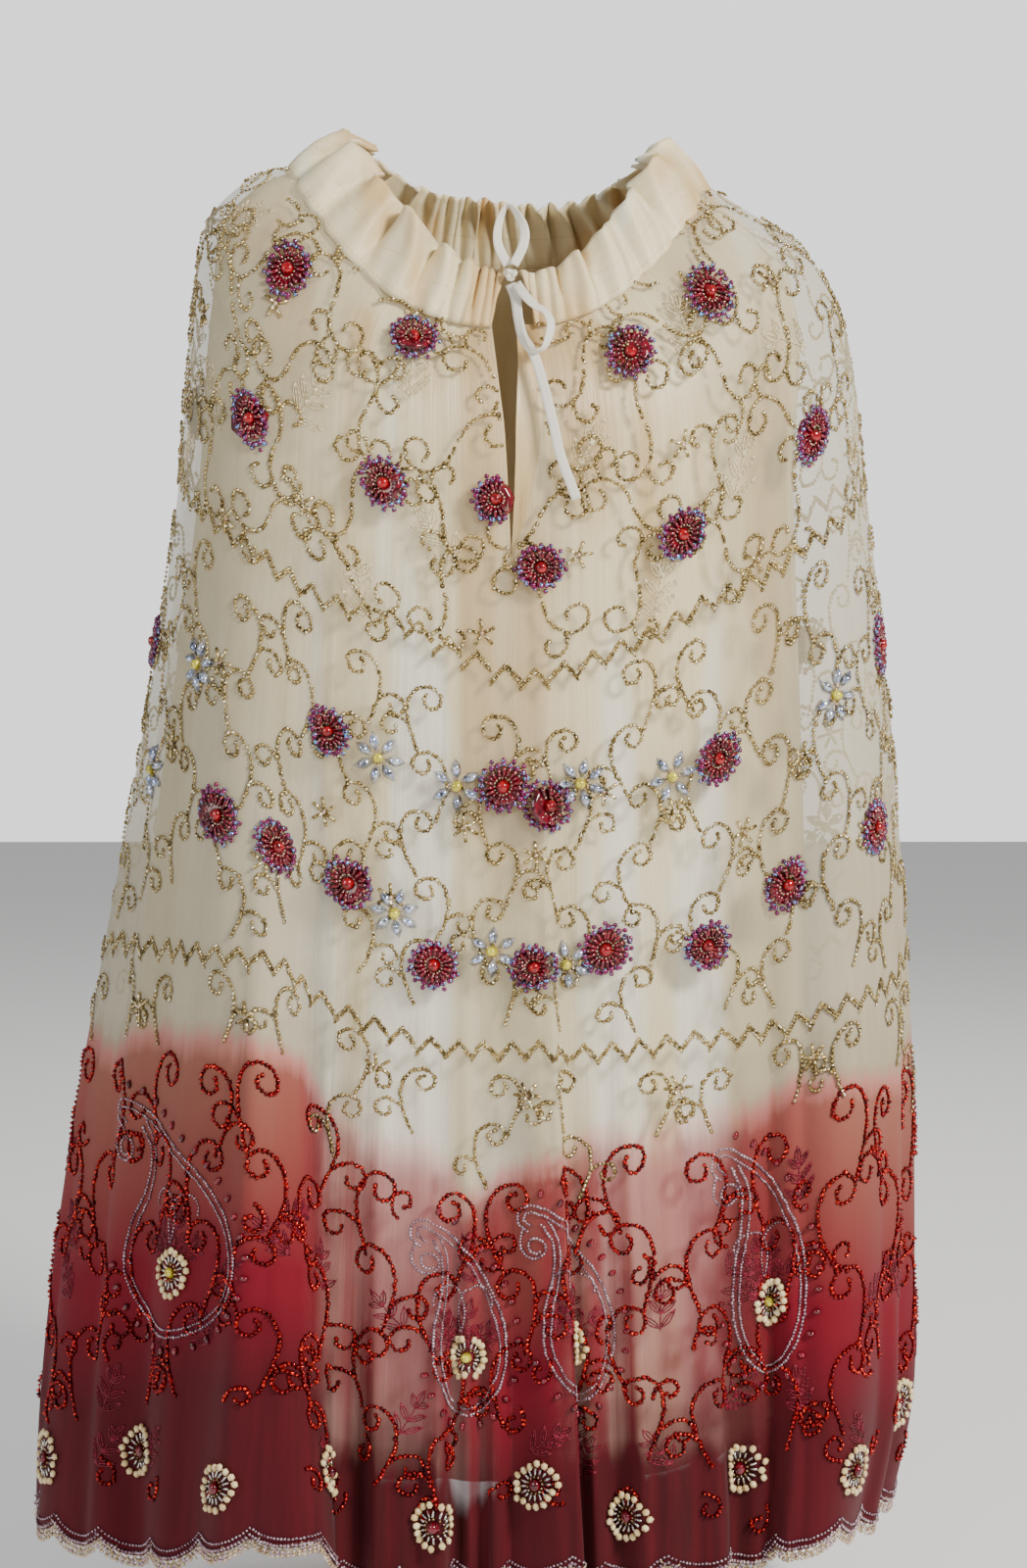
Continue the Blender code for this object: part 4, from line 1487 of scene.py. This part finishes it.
# %% Zigzags
# each row is a bearing and the share of the length where the line runs
FIRST_ZIGZAG = (
    (-180, 0.26),
    (-60, 0.25),
    (-30, 0.24),
    (5, 0.28),
    (50, 0.25),
    (75, 0.27),
    (180, 0.26),
)
SECOND_ZIGZAG = (
    (-180, 0.58),
    (-90, 0.59),
    (-55, 0.53),
    (-20, 0.56),
    (45, 0.57),
    (75, 0.60),
    (180, 0.58),
)
TOOTH_WIDE, TOOTH_HIGH = 0.022, 0.013


def zigzag(table):
    for middle in around(float(np.mean([row[1] for row in table])), TOOTH_WIDE):
        down = float(round_the_skirt(table, middle))
        t = np.arange(-1, 1, 0.13)
        right = t * TOOTH_WIDE / 2
        below = (np.abs(t) - 0.5) * TOOTH_HIGH
        heading = np.sign(t) * math.atan2(TOOTH_HIGH, TOOTH_WIDE / 2)
        for gap in (0.0, 0.0030):
            beads_along("gold", middle, down, (right, below + gap, heading), 0.0027)


zigzag(FIRST_ZIGZAG)
zigzag(SECOND_ZIGZAG)
print("zigzag beads:", sum(len(rows) for rows in sewn["seed", "gold"]))

# %% Vines between the zigzags
for i, bearing in enumerate(around(0.42, 0.056)):
    top = float(round_the_skirt(FIRST_ZIGZAG, bearing)) + chance.uniform(0.012, 0.050)
    foot = float(round_the_skirt(SECOND_ZIGZAG, bearing)) - 0.012
    vine("gold", bearing, top, foot, 1 if i % 2 else -1, GOLD_PITCH, GOLD_SIZE)
    start = foot + 0.022 + chance.uniform(0, 0.012)
    end = float(round_the_skirt(DYE_LINE, bearing)) + 0.03
    vine("gold", bearing, start, end, 1 if i % 2 else -1, GOLD_PITCH, GOLD_SIZE)
    if i % 2:
        starflower("gold", bearing, foot + 0.05, 0.026, 0.0)
    starflower("gold", bearing, (top + foot) / 2 + chance.uniform(-0.08, 0.08), 0.030, 0.0)
print("gold beads:", sum(len(rows) for rows in sewn["seed", "gold"]))

# %% Scrolls and sprays above the first zigzag


def double_scroll(finish, bearing, down, turn, size, side):
    """Two curls that run opposite ways from one middle, with an offshoot each."""
    for half in (0, math.pi):
        line = bend(0, 0, turn + half, size, side * 6, side * 135, GOLD_PITCH)
        beads_along(finish, bearing, down, line, GOLD_SIZE)
        third = len(line[0]) // 3
        start = line[0][third], line[1][third], line[2][third] - side * 0.5
        off = bend(*start, size * 0.5, -side * 40, -side * 170, GOLD_PITCH)
        beads_along(finish, bearing, down, off, GOLD_SIZE)


SCROLL_ROWS = ((0.044, 0.068), (0.100, 0.070), (0.158, 0.072), (0.216, 0.074))
for row, (down, spacing) in enumerate(SCROLL_ROWS):
    for i, bearing in enumerate(around(down, spacing)):
        away = chance.uniform(-0.006, 0.006)
        turn = chance.uniform(1.1, 2.0)
        side = 1 if (i + row) % 2 else -1
        double_scroll("gold", bearing, down + away, turn, chance.uniform(0.082, 0.10), side)
        if (i + row) % 3 == 0:
            heading = chance.uniform(-2.4, -0.7)
            leaf_spray("gold_thread", bearing, down + 0.03, 0.012, 0.0, heading, 0.05)
        if (i + row) % 3 == 1:
            starflower("gold", bearing, down + 0.028, 0.030, 0.0, rays=5)
for bearing in around(0.018, 0.040):
    curl("gold", bearing, 0.018, 0, 0, chance.uniform(0, 6), 0.05, 1, GOLD_PITCH, GOLD_SIZE)
print("gold beads:", sum(len(rows) for rows in sewn["seed", "gold"]))

# %% [markdown]
# ## Raised flowers
#
# Two kinds of flower stand proud of the net. One is a red stone in a ring of seed beads,
# rayed with red bugles and edged with purple beads that shine blue. The other has six
# clear pointed stones about a yellow one. They are set in rows that go all round, each
# flower a little off its row and its bearing, as if placed by eye.

# %% Red and crystal flowers
BEARING_DRIFT, LEVEL_DRIFT = 1.5, 0.012  # degrees, and a share of the length
FLOWER_COLUMNS = "down red_bearings crystal_bearings".split()
FLOWER_ROWS = (
    (0.04, (-65, -35, 60, 105, 150, 200, 245), ()),
    (0.06, (40,), ()),
    (0.15, (-65, -35, -5), ()),
    (0.20, (10, 45, 70, 120, 170, 215, 260), ()),
    (0.35, (-45, 0, 110, 140, 175, 210, 240), (-70, -35, -15, 125, 160, 195, 225)),
    (0.37, (-85, 10, 50, 80), (20, 40, 70)),
    (0.45, (-65, -55, -40), (-75, -30)),
    (0.49, (-20, 5, 25, 45, 60, 75, 100, 125, 155, 190, 225, 250), (-5, 15, 110, 170, 210, 240)),
)


def scattered(kind):
    """Each flower of one kind, a little off its row."""
    for row in FLOWER_ROWS:
        for bearing in row[FLOWER_COLUMNS.index(kind)]:
            turned = bearing + chance.uniform(-BEARING_DRIFT, BEARING_DRIFT)
            yield turned, row[0] + chance.uniform(-LEVEL_DRIFT, LEVEL_DRIFT)


def ring(kind, finish, bearing, down, count, reach, long, wide, high, lift, wobble=0.0):
    """Copies evenly set round a place, each lying along its own ray."""
    angle = chance.uniform(0, 6) + np.arange(count) * 2 * math.pi / count
    out = reach * (1 + chance.uniform(-wobble, wobble, count))
    steps = out * np.cos(angle), out * np.sin(angle)
    sew(kind, finish, bearing, down, *steps, angle, long, wide, high, lift)


def red_flower(bearing, down):
    grow = chance.uniform(0.92, 1.06)
    at = bearing, down
    sew("stone", "garnet", *at, 0, 0, 0, 0.0310 * grow, 0.0310 * grow, 0.0012, 0.0002)
    sew("stone", "ruby", *at, 0, 0, 0, 0.0105 * grow, 0.0105 * grow, 0.0055, 0.002)
    ring("seed", "pale", *at, 16, 0.0066 * grow, 0.0018, 0.0018, 0.0022, 0.0022)
    ring("bugle", "garnet", *at, 18, 0.0110 * grow, 0.0076, 0.0028, 0.0032, 0.0016)
    ring("seed", "pale", *at, 9, 0.0128 * grow, 0.0015, 0.0015, 0.0018, 0.0034)
    ring("bead", "rainbow", *at, 20, 0.0164 * grow, 0.0049, 0.0049, 0.0046, 0.0008, wobble=0.05)
    ring("bead", "rainbow", *at, 15, 0.0192 * grow, 0.0038, 0.0038, 0.0034, 0.0004, wobble=0.07)


def crystal_flower(bearing, down):
    petals = int(chance.integers(6, 8))
    at = bearing, down
    ring("petal", "crystal", *at, petals, 0.0126, 0.0170, 0.0088, 0.0044, 0.0006, wobble=0.06)
    sew("stone", "lemon", *at, 0, 0, 0, 0.0095, 0.0095, 0.0058, 0.0010)
    ring("seed", "pale", *at, 10, 0.0056, 0.0020, 0.0020, 0.0020, 0.0006)


red_places = list(scattered("red_bearings"))
crystal_places = list(scattered("crystal_bearings"))
for place in red_places:
    red_flower(*place)
for place in crystal_places:
    crystal_flower(*place)
print("flowers:", len(red_places), "red and", len(crystal_places), "crystal")

# %% [markdown]
# ## The red border
#
# Below the dye line the scrolls are worked in scarlet sequins and maroon thread. A
# paisley stands at the middle of each fold, drawn in two lines of lavender beads with
# its tip rolled over, dotted round with garnets, and with a pearl rosette in its belly.

# %% Paisleys
PAISLEY_COLUMNS = "bearing down wide tall".split()
PAISLEYS = (
    (-65, 0.78, 1.70, 1.00),
    (-10, 0.81, 0.85, 1.00),
    (15, 0.80, 1.00, 1.00),
    (55, 0.79, 0.85, 1.15),
    (105, 0.80, 1.00, 1.00),
    (140, 0.79, 0.95, 1.05),
    (180, 0.80, 1.00, 1.00),
    (215, 0.79, 1.05, 1.00),
    (250, 0.80, 1.00, 0.95),
)
PAISLEY_LINE = (
    (-0.050, -0.094),
    (-0.058, -0.102),
    (-0.054, -0.113),
    (-0.040, -0.114),
    (-0.016, -0.100),
    (0.010, -0.078),
    (0.030, -0.048),
    (0.041, -0.014),
    (0.038, 0.020),
    (0.020, 0.044),
    (-0.006, 0.050),
    (-0.028, 0.036),
    (-0.041, 0.008),
    (-0.040, -0.026),
    (-0.032, -0.056),
    (-0.030, -0.082),
    (-0.038, -0.100),
)


def paisley_line(wide, tall, shrink, pitch):
    """Evenly stepped points along the paisley, moved in square to the line."""
    table = np.array(PAISLEY_LINE) * (wide, tall)
    knots = np.arange(len(table), dtype=float)
    at = np.linspace(0, len(table) - 1, 600)
    right, below = eased(knots, table[:, 0], at), eased(knots, table[:, 1], at)
    heading = np.arctan2(np.gradient(below), np.gradient(right))
    right = right - np.sin(heading) * shrink
    below = below + np.cos(heading) * shrink
    run = np.concatenate([[0], np.cumsum(np.hypot(np.diff(right), np.diff(below)))])
    even = np.arange(0, run[-1], pitch)
    steps = np.interp(even, run, right), np.interp(even, run, below)
    return *steps, np.arctan2(np.gradient(steps[1]), np.gradient(steps[0]))


def pearl_rosette(bearing, down, middle, size):
    at = bearing, down
    grow = size / 0.017
    sew("stone", middle, *at, 0, 0, 0, 0.0085 * grow, 0.0085 * grow, 0.005, 0.001)
    ring("seed", "gold", *at, 12, 0.0062 * grow, 0.0022, 0.0022, 0.0022, 0.0010)
    ring("bugle", "silver", *at, 16, 0.0102 * grow, 0.0055, 0.0018, 0.0018, 0.0006)
    ring("bead", "pearl", *at, 17, 0.0158 * grow, 0.0060, 0.0052, 0.0046, 0.0004, wobble=0.10)


def paisley(bearing, down, wide, tall):
    for shrink, size in ((0.0, 0.0027), (0.0056, 0.0022)):
        line = paisley_line(wide, tall, shrink, size * 1.02)
        beads_along("lavender", bearing, down, line, size)
    right, below, heading = paisley_line(wide, tall, -0.011, 0.017)
    dots = slice(4, len(right) - 6)
    place = right[dots], below[dots], heading[dots] + FLAT_DOWN
    sew("stone", "garnet", bearing, down, *place, 0.0075, 0.0048, 0.0032)
    for turn in (-2.2, -1.4, -0.5, 3.4, 4.0):
        leaf_spray("maroon_thread", bearing, down, -0.004, -0.008, turn, 0.042)
    for side, start in ((1, -1.9), (-1, -1.2)):
        line = bend(-0.006, -0.020, start, 0.075, side * 8, side * 90, 0.0028)
        beads_along("lavender", bearing, down, line, 0.0022)
    tip = -0.052 * wide, -0.098 * tall
    line = bend(*tip, 2.3, 0.085, -35, -180, 0.0027)
    beads_along("lavender", bearing, down, line, 0.0026)
    pearl_rosette(bearing, down, "lemon", 0.0175)


for row in PAISLEYS:
    paisley(**dict(zip(PAISLEY_COLUMNS, row)))
print("paisleys:", len(PAISLEYS))

# %% Scarlet scrolls and thread leaves
SCARLET_PITCH, SCARLET_SIZE = 0.0038, 0.0043
for i, bearing in enumerate(around(0.82, 0.066)):
    start = float(round_the_skirt(DYE_LINE, bearing)) + chance.uniform(0.0, 0.02)
    end = chance.uniform(0.90, 0.96)
    side = 1 if i % 2 else -1
    sizes = SCARLET_PITCH, SCARLET_SIZE, "sequin", 1.35
    vine("scarlet", bearing, start, end, side, *sizes)
    for down in chance.uniform(0.70, 0.95, 2):
        shift, heading = chance.uniform(0.015, 0.03), chance.uniform(-2.6, -0.5)
        leaf_spray("maroon_thread", bearing, down, shift, 0.0, heading, 0.040)
for down in (0.72, 0.80, 0.87, 0.94):
    for bearing in around(down, 0.075):
        turn = chance.uniform(0, 6)
        line = bend(0.02, 0, turn, 0.05, 20, 190, SCARLET_PITCH)
        level = down + chance.uniform(-0.02, 0.02)
        beads_along("scarlet", bearing, level, line, SCARLET_SIZE, "sequin")
print("scarlet sequins:", sum(len(rows) for rows in sewn["sequin", "scarlet"]))

# %% Rosettes and the scalloped edge
ROSETTE_LEVEL, ROSETTE_SPACING, ROSETTE_STAGGER = 0.935, 0.115, 0.014
for i, bearing in enumerate(around(ROSETTE_LEVEL, ROSETTE_SPACING)):
    pearl_rosette(bearing, ROSETTE_LEVEL + ROSETTE_STAGGER * (-1) ** i, "garnet", 0.0200)


def edge_line(step, rise):
    """Bearings and levels that follow the scalloped hem, a rise above its edge."""
    bearing = around(1.0, step)
    return bearing, 1 + (hem_scallop(bearing) - rise) / net.length


for finish, rise, size in (("lavender", 0.0025, 0.0030), ("lavender", 0.0085, 0.0024)):
    bearing, down = edge_line(0.0029, rise)
    sew("seed", finish, bearing, down, 0, 0, 0, size, size, size * 0.75)
bearing, down = edge_line(0.0060, -0.0006)
for side in (-1, 1):
    heading = FLAT_DOWN + side * 0.75
    sew("stitch", "zari", bearing, down, 0, 0.001, heading, 0.0125, 0.0013, 0.0009, -0.0012)
for rise in (-0.0030, -0.0065):
    bearing, down = edge_line(0.0042, rise)
    sew("seed", "zari", bearing, down, 0, 0.001, 0, 0.0036, 0.0036, 0.0024, -0.0012)
print("edge beads:", len(bearing))

# %% [markdown]
# ## Sewing it all on
#
# Each list is now carried onto the cloth. The tangent at each copy comes from a second
# place a hair further along its heading, and the direction out of the cloth from the
# net itself. Nothing is sewn across the open slit. Copies of one kind and colour are
# joined in one mesh for each quarter of the skirt, to keep each piece small.

# %% Carry the lists onto the cloth


def off_the_slit(points, level):
    table = np.array(SLIT_EDGES)
    left = np.interp(level, table[:, 0], table[:, 1]) - 0.002
    right = np.interp(level, table[:, 0], table[:, 2]) + 0.002
    in_gap = (points[:, 0] > left) & (points[:, 0] < right)
    return ~(in_gap & (points[:, 1] < 0) & (level < 0.185))


def copies(unit, rows):
    """Corner points and triangles of every copy, in one array each."""
    value = {name: rows[:, i] for i, name in enumerate(SEWN_COLUMNS)}
    place = value["bearing"], value["down"]
    points, square, _, level = net.place(*place, value["right"], value["below"])
    hair = 0.0004
    ahead = value["right"] + hair * np.cos(value["heading"])
    under = value["below"] + hair * np.sin(value["heading"])
    further = net.place(*place, ahead, under)[0]
    along = further - points
    stray = np.linalg.norm(along, axis=1) < hair * 0.1
    along[stray] = (1, 0, 0)
    tipped = square + chance.normal(0, 0.16, square.shape)
    tipped /= np.linalg.norm(tipped, axis=1, keepdims=True)
    along -= tipped * (along * tipped).sum(axis=1, keepdims=True)
    along /= np.linalg.norm(along, axis=1, keepdims=True)
    across = np.cross(tipped, along)
    keep = off_the_slit(points, level) & (level > 0.004)
    corners, triangles = unit
    base = points + square * (value["lift"][:, None] + 0.0002)
    sized = corners[None] * np.stack([value[n] for n in ("long", "wide", "high")], -1)[:, None]
    placed = base[:, None] + sum(
        sized[..., i : i + 1] * axis[:, None] for i, axis in enumerate((along, across, tipped))
    )
    return placed[keep], triangles, points[keep]


def joined_piece(name, placed, triangles, material):
    count, per_copy = placed.shape[:2]
    corner = (triangles[None] + (np.arange(count) * per_copy)[:, None, None]).ravel()
    mesh = bpy.data.meshes.new(name)
    mesh.vertices.add(count * per_copy)
    mesh.vertices.foreach_set("co", placed.ravel())
    mesh.loops.add(len(corner))
    mesh.loops.foreach_set("vertex_index", corner.astype(np.int32))
    mesh.polygons.add(len(corner) // 3)
    mesh.polygons.foreach_set("loop_start", np.arange(0, len(corner), 3, dtype=np.int32))
    mesh.update(calc_edges=True)
    mesh.materials.append(material)
    piece = bpy.data.objects.new(name, mesh)
    bpy.context.scene.collection.objects.link(piece)
    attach(piece, "root")
    return piece


total = 0
for (kind, finish), lists in sewn.items():
    placed, triangles, points = copies(UNITS[kind], np.concatenate(lists))
    side = np.where(points[:, 0] < 0, "left", "right")
    facing = np.where(points[:, 1] < 0, "front", "back")
    for half in ("front_left", "front_right", "back_left", "back_right"):
        chosen = np.char.add(np.char.add(facing, "_"), side) == half
        if chosen.any():
            name = f"{finish}_{kind}s_{half}"
            joined_piece(name, placed[chosen], triangles, FINISHES[finish])
            total += int(chosen.sum()) * len(triangles)
print("sewn on:", total, "triangles")
print({key: sum(len(rows) for rows in lists) for key, lists in sewn.items()})

for place, (panel, hem, area) in net_panels.items():
    size = round(hem, 2), round(net.length, 2)
shown_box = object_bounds()
boxes = [[list(map(float, corner)) for corner in box] for box in (cad_box, shown_box)]
print("frame box", boxes[0], "shown box", boxes[1])
